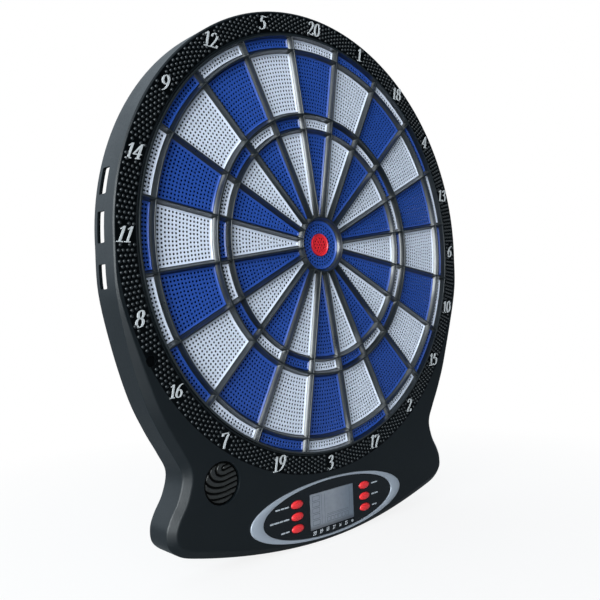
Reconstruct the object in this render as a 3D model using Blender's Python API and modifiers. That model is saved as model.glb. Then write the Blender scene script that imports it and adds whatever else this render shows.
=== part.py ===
"""Electronic dartboard: case, spider, scoring segments, sensor stack, control panel and battery bay.

The board is drawn lying on its back, with X to the thrower's right, Y up the board and Z out from
the wall, so every height below is a height above the wall. An empty called board_stand then stands
it upright: the thrower's side faces -Y and the wall side +Y. The origin is the point where the
bull's axis meets the wall. All sizes are in metres.
"""

import math

import bmesh
import bpy
from mathutils import Matrix

# ---- scoring face -------------------------------------------------------------------------------
NUMBERS = (20, 1, 18, 4, 13, 6, 10, 15, 2, 17, 3, 19, 7, 16, 8, 11, 14, 9, 12, 5)
SECTOR = math.tau / len(NUMBERS)
# Each band of pads: inner radius, outer radius, steps along the inner arc, steps along the outer arc.
PAD_BANDS = (
    (0.0253, 0.0936, 1, 2),
    (0.0981, 0.1053, 2, 2),
    (0.1106, 0.1579, 2, 3),
    (0.1626, 0.1700, 3, 3),
)
PAD_SIDE_GAP = 0.0024           # from a pad's side to the line between two numbers
WALL_CLEARANCE_BACK = 0.0004    # from a pad to the spider wall beside it, at the wall's back
WALL_CLEARANCE_FRONT = 0.0010   # and at its front, because the walls taper
WEB_GAP = 0.0005                # half the gap between the webs of two neighbouring columns
WEB_INNER_R = 0.0246
WEB_OUTER_R = 0.1712
OUTER_BULL_R = 0.0205
INNER_BULL_R = 0.0093
BULL_GAP = 0.0004
INNER_BULL_FOOT_R = 0.0110
OUTER_BULL_FOOT_R = 0.0235
INNER_BULL_RISE = 0.0005
PRESS_TRAVEL = 0.0010           # how far a pad or a bull sinks into the mat when a dart lands
SPIDER_R = 0.1724
SPIDER_FLANGE_R = 0.1785
FACE_OPENING_R = 0.1729

# ---- heights above the wall ---------------------------------------------------------------------
COVER_TOP = 0.0026
BACKING_LOW, BACKING_TOP = 0.0095, 0.0115
MEMBRANE_LOW, MEMBRANE_TOP = 0.0118, 0.0123
MAT_LOW, MAT_TOP = 0.0126, 0.0146
WEB_LOW, WEB_TOP = 0.0159, 0.0171
SPIDER_BACK, SPIDER_FRONT = 0.0175, 0.0288
FLANGE_LOW, FLANGE_TOP = 0.0217, 0.0242
SEGMENT_FACE = 0.0245
PLATE_BACK, HOUSING_FRONT = 0.0245, 0.0270

# ---- case outline -------------------------------------------------------------------------------
HEAD_R = 0.1905
HEAD_LOW_Y = -0.0060            # the head's arc ends here and the flank begins
# Flank of the right side: hip, waist, then the flared foot and its rounded corner.
FLANK = (
    (0.1892, -0.0380),
    (0.1806, -0.0770),
    (0.1694, -0.1124),
    (0.1578, -0.1367),
    (0.1485, -0.1528),
    (0.1419, -0.1669),
    (0.1453, -0.1823),
    (0.1526, -0.1948),
    (0.1560, -0.2044),
    (0.1544, -0.2150),
    (0.1443, -0.2233),
)
BOTTOM_Y = -0.2446
BOTTOM_R = 0.5140               # the bottom edge is a shallow arc
BOTTOM_HALF_WIDTH = 0.1280
HEAD_STEPS = 14
SHOULDER_STEPS = 1
FLANK_STEPS = 2
BOTTOM_STEPS = 5
CASE_WALL = 0.0024
COVER_GAP = 0.0004
CHAMFER_HEAD = 0.0010           # chamfer width round the head
CHAMFER_BODY = 0.0060           # at the waist and foot
CHAMFER_BOTTOM = 0.0030         # at the middle of the bottom edge
CHAMFER_START_Y = -0.0200
CHAMFER_FULL_Y = -0.1100
CHAMFER_SLOPE = 0.75            # depth over width

# ---- case details -------------------------------------------------------------------------------
SLOT_SPANS = ((0.0285, 0.0473), (-0.0046, 0.0169), (-0.0356, -0.0188))
SLOT_LOW, SLOT_TOP = 0.0045, 0.0142
SLOT_INNER_X = 0.1780
NOTCH_X = 0.1740                # the rear cover is cut back beside the slots
NOTCH_LOW_Y, NOTCH_TOP_Y = -0.0420, 0.0520
BOSS_RING_R = 0.1830
BOSS_ANGLES = (70, 110, 24, 156, -22, 202)
FOOT_BOSS = (0.1475, -0.2040)
BOSS_R = 0.0036
BOSS_LOW = 0.0029
PILOT_R = 0.0017
PILOT_TOP = 0.0160
SCREW_SHANK_R = 0.0014
SCREW_HEAD_R = 0.0028
SCREW_HEAD_LOW, SCREW_HEAD_TOP = 0.0002, 0.0014
SCREW_HEAD_TAPER = 0.85         # the head's outer face is narrower than its underside
SCREW_TIP = 0.0150
COUNTERBORE_R = 0.0032
COUNTERBORE_TOP = 0.0017
RIB_RADII = (0.0600, 0.1500)
RIB_THICKNESS = 0.0020
RIB_TOP = 0.0092
KEYHOLES = ((-0.0700, 0.1100), (0.0700, 0.1100))
KEYHOLE_R = 0.0046
KEYHOLE_SLOT_R = 0.0023
KEYHOLE_RISE = 0.0120

# ---- control panel ------------------------------------------------------------------------------
PANEL_Y = -0.2175
TRIM_HALF = (0.0870, 0.0236)
TRIM_HOLE_HALF = (0.0748, 0.0222)
PANEL_HALF = (0.0744, 0.0218)
PANEL_OPENING_HALF = (0.0710, 0.0185)
FIT_GAP = 0.0003
RECESS_FLOOR = 0.0255
TRIM_LOW, TRIM_TOP = 0.0258, 0.0279
PANEL_LOW, PANEL_TOP = 0.0258, 0.0273
LCD_Y = -0.2185
LCD_HALF = (0.0255, 0.0145)
LCD_WINDOW_LOW, LCD_WINDOW_TOP = 0.0257, 0.0271
LCD_MODULE_HALF = (0.0282, 0.0160)
LCD_MODULE_LOW, LCD_MODULE_TOP = 0.0206, 0.0242
BUTTON_X = 0.0395
BUTTON_ROWS = (-0.2085, -0.2180, -0.2275)
BUTTON_NAMES = ("top", "middle", "bottom")
BUTTON_HALF = (0.0065, 0.0032)
BUTTON_FOOT_HALF = (0.0080, 0.0043)
BUTTON_LOW, BUTTON_FOOT_TOP = 0.0224, 0.0254
BUTTON_SHOULDER, BUTTON_TOP = 0.0274, 0.0286
# The domed cap: share of the button's size, at a share of the way from its shoulder to its top.
BUTTON_DOME = ((1.0, 0.0), (0.82, 0.7), (0.45, 1.0))
BUTTON_PAD_HALF = (0.0104, 0.0155)
BUTTON_PAD_LOW, BUTTON_PAD_TOP = 0.0169, 0.0212
BOARD_HALF = (0.0660, 0.0170)
BOARD_LOW, BOARD_TOP = 0.0150, 0.0166
BOARD_POST = (0.0580, 0.0120)
BOARD_POST_R = 0.0025
BOARD_POST_TOP = 0.0147

# ---- speaker ------------------------------------------------------------------------------------
SPEAKER_AT = (-0.1110, -0.1775)
GRILLE_R = 0.0155
GRILLE_HOLE_R = 0.0158
GRILLE_FLANGE_R = 0.0185
GRILLE_LOW, GRILLE_FLANGE_TOP, GRILLE_TOP = 0.0226, 0.0242, 0.0262
GRILLE_WAVES = 6
GRILLE_PITCH = 0.0042
GRILLE_SLOT = 0.0018
GRILLE_RIM = 0.0015             # solid rim left outside the slots
SPEAKER_R = 0.0180
SPEAKER_RIM_LOW, SPEAKER_TOP = 0.0190, 0.0223
MAGNET_R = 0.0090
MAGNET_LOW = 0.0140

# ---- battery bay --------------------------------------------------------------------------------
BAY_LOW_X, BAY_TOP_X = 0.0825, 0.1355
BAY_LOW_Y, BAY_TOP_Y = -0.2170, -0.1700
BAY_WALL = 0.0016
BAY_CEILING = 0.0194
CELL_R = 0.0071
CELL_LENGTH = 0.0505
CELL_PITCH = 0.0153
CELL_HEIGHT = 0.0115
CELL_NIPPLE_R = 0.0027
CELL_NIPPLE = 0.0010
CONTACT_THICKNESS = 0.0005
CONTACT_LOW, CONTACT_TOP = 0.0040, 0.0190
DOOR_GAP = 0.0004
DOOR_TOP = 0.0018

# ---- cables -------------------------------------------------------------------------------------
RIBBON_HALF_WIDTH = 0.0200
RIBBON_THICKNESS = 0.0004
RIBBON_TOP_Y, RIBBON_LOW_Y = -0.1744, -0.2001
RIBBON_STEPS = 6
CABLE_R = 0.0011
CABLE_HEIGHT = 0.0080           # the round cables run at this height between their ends
SPEAKER_CABLE_BENDS = ((-0.0930, -0.2000), (-0.0800, -0.2110))
BATTERY_CABLE_START = (0.0787, -0.1900, 0.0120)
BATTERY_CABLE_BENDS = ((0.0767, -0.2020), (0.0710, -0.2110))
CABLE_END_DROP = 0.0040         # how far above the panel's middle line a cable meets the board

OVERCUT = 0.0010                # how far a cutter runs past the face it leaves
MERGE = 0.00001
DISC_STEPS = 60
ROUND_STEPS = 20
SMALL_STEPS = 12
TINY_STEPS = 8


# ---- scene, collections and materials -----------------------------------------------------------
def clear_scene():
    for obj in list(bpy.data.objects):
        bpy.data.objects.remove(obj, do_unlink=True)


def new_collection(name):
    collection = bpy.data.collections.new(name)
    bpy.context.scene.collection.children.link(collection)
    return collection


def new_material(name, colour, roughness, metallic=0.0):
    material = bpy.data.materials.new(name)
    material.use_nodes = True
    shader = material.node_tree.nodes["Principled BSDF"]
    shader.inputs["Base Color"].default_value = (*colour, 1.0)
    shader.inputs["Roughness"].default_value = roughness
    shader.inputs["Metallic"].default_value = metallic
    material.diffuse_color = (*colour, 1.0)
    return material


clear_scene()
PARTS = new_collection("electronic_dartboard")
CUTTERS = new_collection("cutters")
STAND = bpy.data.objects.new("board_stand", None)
STAND.rotation_euler = (math.radians(90), 0, 0)
PARTS.objects.link(STAND)

BLACK_PLASTIC = new_material("black_plastic", (0.020, 0.024, 0.030), 0.45)
COVER_PLASTIC = new_material("cover_plastic", (0.016, 0.017, 0.019), 0.60)
SPIDER_PLASTIC = new_material("spider_plastic", (0.024, 0.028, 0.033), 0.38)
BLUE_PLASTIC = new_material("blue_plastic", (0.020, 0.045, 0.400), 0.40)
WHITE_PLASTIC = new_material("white_plastic", (0.740, 0.750, 0.860), 0.42)
RED_PLASTIC = new_material("red_plastic", (0.780, 0.025, 0.040), 0.35)
PANEL_PLASTIC = new_material("panel_plastic", (0.012, 0.014, 0.018), 0.22)
SILVER_PAINT = new_material("silver_paint", (0.420, 0.460, 0.530), 0.35, 0.60)
LCD_GLASS = new_material("lcd_glass", (0.250, 0.270, 0.290), 0.12)
LCD_FRAME = new_material("lcd_frame", (0.500, 0.520, 0.500), 0.50)
RUBBER = new_material("rubber", (0.030, 0.030, 0.030), 0.85)
FILM = new_material("sensor_film", (0.620, 0.640, 0.600), 0.30)
HARDBOARD = new_material("hardboard", (0.220, 0.130, 0.070), 0.80)
CIRCUIT_BOARD = new_material("circuit_board", (0.020, 0.160, 0.060), 0.50)
STEEL = new_material("steel", (0.560, 0.570, 0.580), 0.30, 1.0)
CELL_JACKET = new_material("cell_jacket", (0.250, 0.270, 0.300), 0.30, 0.80)
CABLE_JACKET = new_material("cable_jacket", (0.350, 0.030, 0.030), 0.55)
RIBBON_FILM = new_material("ribbon_film", (0.500, 0.480, 0.420), 0.40)


# ---- outlines -----------------------------------------------------------------------------------
def arc(radius, start, end, steps, centre=(0.0, 0.0)):
    """Points from one angle to another, both ends included."""
    angles = [start + (end - start) * i / steps for i in range(steps + 1)]
    return [(centre[0] + radius * math.cos(a), centre[1] + radius * math.sin(a)) for a in angles]


def ellipse(half, centre, steps):
    angles = [math.tau * i / steps for i in range(steps)]
    return [(centre[0] + half[0] * math.cos(a), centre[1] + half[1] * math.sin(a)) for a in angles]


def circle(radius, centre=(0.0, 0.0), steps=ROUND_STEPS):
    return ellipse((radius, radius), centre, steps)


def rectangle(half, centre):
    corners = ((-1, -1), (1, -1), (1, 1), (-1, 1))
    return [(centre[0] + half[0] * sx, centre[1] + half[1] * sy) for sx, sy in corners]


def smooth_through(points, steps):
    """Catmull-Rom curve through all points but the first and last, which only set its direction."""
    curve = []
    for a, b, c, d in zip(points, points[1:], points[2:], points[3:]):
        for i in range(steps):
            t = i / steps
            curve.append(tuple(
                0.5 * (2 * q + (r - p) * t + (2 * p - 5 * q + 4 * r - s) * t ** 2
                       + (3 * q - p - 3 * r + s) * t ** 3)
                for p, q, r, s in zip(a, b, c, d)
            ))
    return curve


def bottom_edge():
    end = math.asin(BOTTOM_HALF_WIDTH / BOTTOM_R)
    centre = (0.0, BOTTOM_Y + BOTTOM_R)
    return arc(BOTTOM_R, -math.pi / 2, -math.pi / 2 + end, BOTTOM_STEPS, centre)


def case_outline():
    """Counter-clockwise from the middle of the bottom edge. The left half mirrors the right."""
    bottom = bottom_edge()
    shoulder = arc(HEAD_R, math.asin(HEAD_LOW_Y / HEAD_R), 0.0, SHOULDER_STEPS)
    head = shoulder[:-1] + arc(HEAD_R, 0.0, math.pi / 2, HEAD_STEPS)
    upward = [bottom[-2], bottom[-1], *reversed(FLANK), head[0], head[1]]
    right = bottom[:-1] + smooth_through(upward, FLANK_STEPS) + head
    left = [(-x, y) for x, y in reversed(right[1:-1])]
    return right + left


def smooth_step(value):
    value = min(max(value, 0.0), 1.0)
    return value * value * (3 - 2 * value)


def chamfer_width(point):
    """The front chamfer is narrow round the head, wide at the waist and foot, medium at the bottom."""
    x, y = point
    down = smooth_step((CHAMFER_START_Y - y) / (CHAMFER_START_Y - CHAMFER_FULL_Y))
    width = CHAMFER_HEAD + (CHAMFER_BODY - CHAMFER_HEAD) * down
    if y < FLANK[-2][1]:
        across = smooth_step(abs(x) / BOTTOM_HALF_WIDTH)
        width = CHAMFER_BOTTOM + (CHAMFER_BODY - CHAMFER_BOTTOM) * across
    return width


def inset(loop, distances):
    """Move each point of a counter-clockwise loop inwards by its own distance."""
    moved = []
    count = len(loop)
    for i, (x, y) in enumerate(loop):
        before = loop[i - 1]
        after = loop[(i + 1) % count]
        along = (after[0] - before[0], after[1] - before[1])
        length = math.hypot(*along)
        moved.append((x - along[1] / length * distances[i], y + along[0] / length * distances[i]))
    return moved


def even_inset(loop, distance):
    return inset(loop, [distance] * len(loop))


def pad_outline(inner, outer, side_gap, inner_steps, outer_steps):
    """A pad at three o'clock: two arcs, and sides parallel to the lines between the numbers."""
    outer_half = SECTOR / 2 - math.asin(side_gap / outer)
    inner_half = SECTOR / 2 - math.asin(side_gap / inner)
    front = arc(outer, -outer_half, outer_half, outer_steps)
    back = arc(inner, inner_half, -inner_half, inner_steps)
    return front + back


def keyhole_outline(centre):
    """A round hole for the screw head, with a narrow slot above it for the shank."""
    join = math.asin(KEYHOLE_SLOT_R / KEYHOLE_R)
    head = arc(KEYHOLE_R, math.pi / 2 + join, math.tau + math.pi / 2 - join, SMALL_STEPS, centre)
    top = (centre[0], centre[1] + KEYHOLE_RISE)
    return head + arc(KEYHOLE_SLOT_R, 0.0, math.pi, SMALL_STEPS // 2, top)


def turn(loop, angle):
    cos, sin = math.cos(angle), math.sin(angle)
    return [(x * cos - y * sin, x * sin + y * cos) for x, y in loop]


# ---- solids -------------------------------------------------------------------------------------
def place(obj, collection, at=(0.0, 0.0, 0.0)):
    obj.parent = STAND
    obj.location = at
    collection.objects.link(obj)
    if collection is CUTTERS:
        obj.hide_render = True
        obj.display_type = "WIRE"
    return obj


def finish(name, shape, material=None, at=(0.0, 0.0, 0.0)):
    """Turn a bmesh into an object: a part if it has a material, and a cutter if it hasn't."""
    mesh = bpy.data.meshes.new(name)
    bmesh.ops.recalc_face_normals(shape, faces=shape.faces)
    shape.to_mesh(mesh)
    shape.free()
    mesh.shade_smooth()
    mesh.set_sharp_from_angle(angle=math.radians(30))
    if material:
        mesh.materials.append(material)
    return place(bpy.data.objects.new(name, mesh), PARTS if material else CUTTERS, at)


def at_height(loop, height):
    return [(x, y, height) for x, y in loop]


def add_loft(shape, levels):
    """Skin a stack of loops that have the same number of points, and cap both ends."""
    rings = [[shape.verts.new(point) for point in level] for level in levels]
    for low, high in zip(rings, rings[1:]):
        for i in range(len(low)):
            j = (i + 1) % len(low)
            shape.faces.new((low[i], low[j], high[j], high[i]))
    shape.faces.new(list(reversed(rings[0])))
    shape.faces.new(rings[-1])


def add_prism(shape, loop, low, high):
    add_loft(shape, [at_height(loop, low), at_height(loop, high)])


def add_cylinder(shape, radius, centre, low, high, steps=SMALL_STEPS):
    middle = Matrix.Translation((centre[0], centre[1], (low + high) / 2))
    bmesh.ops.create_cone(shape, cap_ends=True, segments=steps, radius1=radius, radius2=radius,
                          depth=high - low, matrix=middle)


def add_box(shape, low, high):
    size = [h - l for l, h in zip(low, high)]
    middle = [(l + h) / 2 for l, h in zip(low, high)]
    matrix = Matrix.Translation(middle) @ Matrix.Diagonal((*size, 1.0))
    bmesh.ops.create_cube(shape, size=1.0, matrix=matrix)


def settled_mesh(obj):
    """The mesh of an object with its modifiers or curve worked out, and loose caps welded."""
    bpy.context.view_layer.update()
    evaluated = obj.evaluated_get(bpy.context.evaluated_depsgraph_get())
    mesh = bpy.data.meshes.new_from_object(evaluated)
    shape = bmesh.new()
    shape.from_mesh(mesh)
    bmesh.ops.remove_doubles(shape, verts=shape.verts, dist=MERGE)
    shape.to_mesh(mesh)
    shape.free()
    return mesh


def plate(name, loops, low, high, material=None):
    """A flat plate from a filled curve. The first loop is its edge and the others are holes."""
    curve = bpy.data.curves.new(name, "CURVE")
    curve.dimensions = "2D"
    curve.fill_mode = "BOTH"
    curve.extrude = (high - low) / 2
    for loop in loops:
        spline = curve.splines.new("POLY")
        spline.points.add(len(loop) - 1)
        spline.use_cyclic_u = True
        for point, (x, y) in zip(spline.points, loop):
            point.co = (x, y, 0.0, 1.0)
    flat = bpy.data.objects.new(name + "_curve", curve)
    CUTTERS.objects.link(flat)
    mesh = settled_mesh(flat)
    bpy.data.objects.remove(flat, do_unlink=True)
    if material:
        mesh.materials.append(material)
    body = bpy.data.objects.new(name, mesh)
    return place(body, PARTS if material else CUTTERS, (0.0, 0.0, (low + high) / 2))


def turned(name, profile, material, centre=(0.0, 0.0), steps=ROUND_STEPS, ring=False):
    """Spin a profile of (radius, height) points about Z. It runs down the outside, top to bottom."""
    mesh = bpy.data.meshes.new(name)
    edges = [(i, i + 1) for i in range(len(profile) - 1)]
    if ring:
        edges.append((len(profile) - 1, 0))
    mesh.from_pydata([(radius, 0.0, height) for radius, height in profile], edges, [])
    mesh.materials.append(material)
    body = place(bpy.data.objects.new(name, mesh), PARTS, (*centre, 0.0))
    screw = body.modifiers.new("Turn", "SCREW")
    screw.axis = "Z"
    screw.steps = steps
    screw.render_steps = steps
    screw.use_merge_vertices = True
    screw.merge_threshold = MERGE
    return body


def boolean(body, tool, operation):
    modifier = body.modifiers.new(operation.title(), "BOOLEAN")
    modifier.operation = operation
    modifier.object = tool
    return body


def cable(name, points, radius, material):
    curve = bpy.data.curves.new(name, "CURVE")
    curve.dimensions = "3D"
    curve.bevel_depth = radius
    curve.bevel_resolution = 1
    curve.use_fill_caps = True
    curve.materials.append(material)
    spline = curve.splines.new("POLY")
    spline.points.add(len(points) - 1)
    for point, place_at in zip(spline.points, points):
        point.co = (*place_at, 1.0)
    return place(bpy.data.objects.new(name, curve), PARTS)


def boss_centres():
    centres = [arc(BOSS_RING_R, math.radians(a), math.radians(a), 1)[0] for a in BOSS_ANGLES]
    return centres + [FOOT_BOSS, (-FOOT_BOSS[0], FOOT_BOSS[1])]


# ---- case ---------------------------------------------------------------------------------------
def front_housing():
    rim = case_outline()
    widths = [chamfer_width(point) for point in rim]
    depths = [width * CHAMFER_SLOPE for width in widths]
    shape = bmesh.new()
    shoulder = [(x, y, HOUSING_FRONT - depth) for (x, y), depth in zip(rim, depths)]
    add_loft(shape, [at_height(rim, 0.0), shoulder, at_height(inset(rim, widths), HOUSING_FRONT)])
    housing = finish("front_housing", shape, BLACK_PLASTIC)
    boolean(housing, housing_pocket(rim, widths, depths), "DIFFERENCE")
    boolean(housing, housing_openings(), "DIFFERENCE")
    boolean(housing, housing_bosses(), "UNION")
    boolean(housing, pilot_holes(), "DIFFERENCE")
    return housing


def housing_pocket(rim, widths, depths):
    """The hollow follows the outside, chamfer and all, one wall thickness in."""
    inner = even_inset(rim, CASE_WALL)
    inner_front = inset(rim, [CASE_WALL + width for width in widths])
    shoulder = [(x, y, PLATE_BACK - depth) for (x, y), depth in zip(inner, depths)]
    shape = bmesh.new()
    add_loft(shape, [at_height(inner, -OVERCUT), shoulder, at_height(inner_front, PLATE_BACK)])
    return finish("housing_pocket", shape)


def housing_openings():
    """Round opening for the spider, slots in both side walls, speaker hole and panel recess."""
    above = HOUSING_FRONT + OVERCUT
    below = PLATE_BACK - OVERCUT
    shape = bmesh.new()
    add_cylinder(shape, FACE_OPENING_R, (0.0, 0.0), below, above, DISC_STEPS)
    add_cylinder(shape, GRILLE_HOLE_R, SPEAKER_AT, below, above, ROUND_STEPS)
    for low, high in SLOT_SPANS:
        for side in (-1, 1):
            xs = sorted((side * SLOT_INNER_X, side * (HEAD_R + OVERCUT)))
            add_box(shape, (xs[0], low, SLOT_LOW), (xs[1], high, SLOT_TOP))
    recess = [half + FIT_GAP for half in TRIM_HALF]
    opening = ellipse(PANEL_OPENING_HALF, (0.0, PANEL_Y), ROUND_STEPS * 2)
    recess_edge = ellipse(recess, (0.0, PANEL_Y), ROUND_STEPS * 2)
    levels = ((below, opening), (RECESS_FLOOR, opening), (RECESS_FLOOR, recess_edge), (above, recess_edge))
    add_loft(shape, [at_height(loop, height) for height, loop in levels])
    return finish("housing_openings", shape)


def housing_bosses():
    shape = bmesh.new()
    for centre in boss_centres():
        add_cylinder(shape, BOSS_R, centre, BOSS_LOW, PLATE_BACK + OVERCUT)
    return finish("housing_bosses", shape)


def pilot_holes():
    shape = bmesh.new()
    for centre in boss_centres():
        add_cylinder(shape, PILOT_R, centre, BOSS_LOW - OVERCUT, PILOT_TOP, TINY_STEPS)
    return finish("pilot_holes", shape)


def rear_cover():
    edge = even_inset(case_outline(), CASE_WALL + COVER_GAP)
    keyholes = [keyhole_outline(centre) for centre in KEYHOLES]
    cover = plate("rear_cover", [edge, *keyholes], 0.0, COVER_TOP, COVER_PLASTIC)
    boolean(cover, cover_ribs(), "UNION")
    boolean(cover, cover_openings(), "DIFFERENCE")
    return cover


def cover_ribs():
    """Ring ribs that back up the sensor stack, posts for the circuit board, and the battery tray."""
    foot = COVER_TOP - OVERCUT
    shape = bmesh.new()
    for radius in RIB_RADII:
        low = [circle(radius + RIB_THICKNESS / 2, steps=DISC_STEPS // 2)]
        low.append(circle(radius - RIB_THICKNESS / 2, steps=DISC_STEPS // 2))
        add_tube(shape, low[0], low[1], foot, RIB_TOP)
    for sx in (-1, 1):
        for sy in (-1, 1):
            centre = (sx * BOARD_POST[0], PANEL_Y + sy * BOARD_POST[1])
            add_cylinder(shape, BOARD_POST_R, centre, foot, BOARD_POST_TOP, TINY_STEPS)
    low = (BAY_LOW_X - BAY_WALL, BAY_LOW_Y - BAY_WALL, foot)
    high = (BAY_TOP_X + BAY_WALL, BAY_TOP_Y + BAY_WALL, BAY_CEILING + BAY_WALL)
    add_box(shape, low, high)
    return finish("cover_ribs", shape)


def add_tube(shape, outside, inside, low, high):
    """A wall between two loops that have the same number of points."""
    levels = ((outside, low), (outside, high), (inside, high), (inside, low))
    rings = [[shape.verts.new(point) for point in at_height(loop, height)] for loop, height in levels]
    for this, following in zip(rings, rings[1:] + rings[:1]):
        for i in range(len(this)):
            j = (i + 1) % len(this)
            shape.faces.new((this[i], this[j], following[j], following[i]))


def cover_openings():
    """Battery bay, notches beside the side slots, and stepped holes for the screws."""
    shape = bmesh.new()
    add_box(shape, (BAY_LOW_X, BAY_LOW_Y, -OVERCUT), (BAY_TOP_X, BAY_TOP_Y, BAY_CEILING))
    for side in (-1, 1):
        xs = sorted((side * NOTCH_X, side * HEAD_R))
        add_box(shape, (xs[0], NOTCH_LOW_Y, -OVERCUT), (xs[1], NOTCH_TOP_Y, COVER_TOP + OVERCUT))
    for centre in boss_centres():
        wide = circle(COUNTERBORE_R, centre, SMALL_STEPS)
        narrow = circle(PILOT_R, centre, SMALL_STEPS)
        levels = ((wide, -OVERCUT), (wide, COUNTERBORE_TOP), (narrow, COUNTERBORE_TOP),
                  (narrow, COVER_TOP + OVERCUT))
        add_loft(shape, [at_height(loop, height) for loop, height in levels])
    return finish("cover_openings", shape)


def case_screws():
    profile = ((0.0, SCREW_TIP), (SCREW_SHANK_R, SCREW_TIP - SCREW_SHANK_R),
               (SCREW_SHANK_R, SCREW_HEAD_TOP), (SCREW_HEAD_R, SCREW_HEAD_TOP),
               (SCREW_HEAD_R * SCREW_HEAD_TAPER, SCREW_HEAD_LOW), (0.0, SCREW_HEAD_LOW))
    for index, centre in enumerate(boss_centres(), start=1):
        turned(f"case_screw_{index}", profile, STEEL, centre, TINY_STEPS)


# ---- scoring face -------------------------------------------------------------------------------
def spider():
    profile = ((0.0, SPIDER_FRONT), (SPIDER_R, SPIDER_FRONT), (SPIDER_R, FLANGE_TOP),
               (SPIDER_FLANGE_R, FLANGE_TOP), (SPIDER_FLANGE_R, FLANGE_LOW), (SPIDER_R, FLANGE_LOW),
               (SPIDER_R, SPIDER_BACK), (0.0, SPIDER_BACK))
    body = turned("spider", profile, SPIDER_PLASTIC, steps=DISC_STEPS)
    return boolean(body, spider_cells(), "DIFFERENCE")


def clearance_at(height):
    """The clearance between pad and wall grows from the wall's back to its front."""
    along = (height - SPIDER_BACK) / (SPIDER_FRONT - SPIDER_BACK)
    return WALL_CLEARANCE_BACK + (WALL_CLEARANCE_FRONT - WALL_CLEARANCE_BACK) * along


def spider_cells():
    """One tapered hole for every pad, and one for the bulls."""
    heights = (SPIDER_BACK - OVERCUT, SPIDER_FRONT + OVERCUT)
    shape = bmesh.new()
    for index in range(len(NUMBERS)):
        for inner, outer, inner_steps, outer_steps in PAD_BANDS:
            levels = []
            for height in heights:
                gap = clearance_at(height)
                loop = pad_outline(inner - gap, outer + gap, PAD_SIDE_GAP - gap, inner_steps, outer_steps)
                levels.append(at_height(turn(loop, index * SECTOR), height))
            add_loft(shape, levels)
    bull = [at_height(circle(OUTER_BULL_R + clearance_at(h), steps=DISC_STEPS // 2), h) for h in heights]
    add_loft(shape, bull)
    return finish("spider_cells", shape)


def column_mesh():
    """Four pads on one web. The web lies behind the spider walls and stops the pads falling out."""
    web = bmesh.new()
    add_prism(web, pad_outline(WEB_INNER_R, WEB_OUTER_R, WEB_GAP, 1, 3), WEB_LOW, WEB_TOP)
    pads = bmesh.new()
    for inner, outer, inner_steps, outer_steps in PAD_BANDS:
        loop = pad_outline(inner, outer, PAD_SIDE_GAP, inner_steps, outer_steps)
        add_prism(pads, loop, (WEB_LOW + WEB_TOP) / 2, SEGMENT_FACE)
    column = finish("column_web", web)
    pad_set = finish("column_pads", pads)
    mesh = settled_mesh(boolean(column, pad_set, "UNION"))
    bpy.data.objects.remove(column, do_unlink=True)
    bpy.data.objects.remove(pad_set, do_unlink=True)
    return mesh


def segment_columns():
    """One column of pads for each number, clockwise from the top, in alternating colours."""
    white_mesh = column_mesh()
    white_mesh.materials.append(WHITE_PLASTIC)
    blue_mesh = white_mesh.copy()
    blue_mesh.materials[0] = BLUE_PLASTIC
    for index, number in enumerate(NUMBERS):
        mesh = white_mesh if index % 2 else blue_mesh
        column = bpy.data.objects.new(f"segment_{number:02d}", mesh)
        column.rotation_euler = (0.0, 0.0, math.pi / 2 - index * SECTOR)
        place(column, PARTS)


def bulls():
    foot_top = WEB_TOP - BULL_GAP / 4
    bore = INNER_BULL_R + BULL_GAP
    counterbore = INNER_BULL_FOOT_R + BULL_GAP
    counterbore_top = foot_top + PRESS_TRAVEL + BULL_GAP
    outer = ((bore, SEGMENT_FACE), (OUTER_BULL_R, SEGMENT_FACE), (OUTER_BULL_R, foot_top),
             (OUTER_BULL_FOOT_R, foot_top), (OUTER_BULL_FOOT_R, WEB_LOW), (counterbore, WEB_LOW),
             (counterbore, counterbore_top), (bore, counterbore_top))
    turned("outer_bull", outer, BLUE_PLASTIC, steps=ROUND_STEPS, ring=True)
    face = SEGMENT_FACE + INNER_BULL_RISE
    inner = ((0.0, face), (INNER_BULL_R, face), (INNER_BULL_R, foot_top), (INNER_BULL_FOOT_R, foot_top),
             (INNER_BULL_FOOT_R, WEB_LOW), (0.0, WEB_LOW))
    turned("inner_bull", inner, RED_PLASTIC, steps=ROUND_STEPS)


def sensor_stack():
    """Backing plate, contact film and rubber mat, from the wall outwards."""
    layers = (
        ("sensor_backing_plate", 0.1760, BACKING_LOW, BACKING_TOP, HARDBOARD),
        ("sensor_membrane", 0.1740, MEMBRANE_LOW, MEMBRANE_TOP, FILM),
        ("rubber_mat", 0.1750, MAT_LOW, MAT_TOP, RUBBER),
    )
    for name, radius, low, high, material in layers:
        shape = bmesh.new()
        add_cylinder(shape, radius, (0.0, 0.0), low, high, DISC_STEPS // 2)
        finish(name, shape, material)


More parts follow.
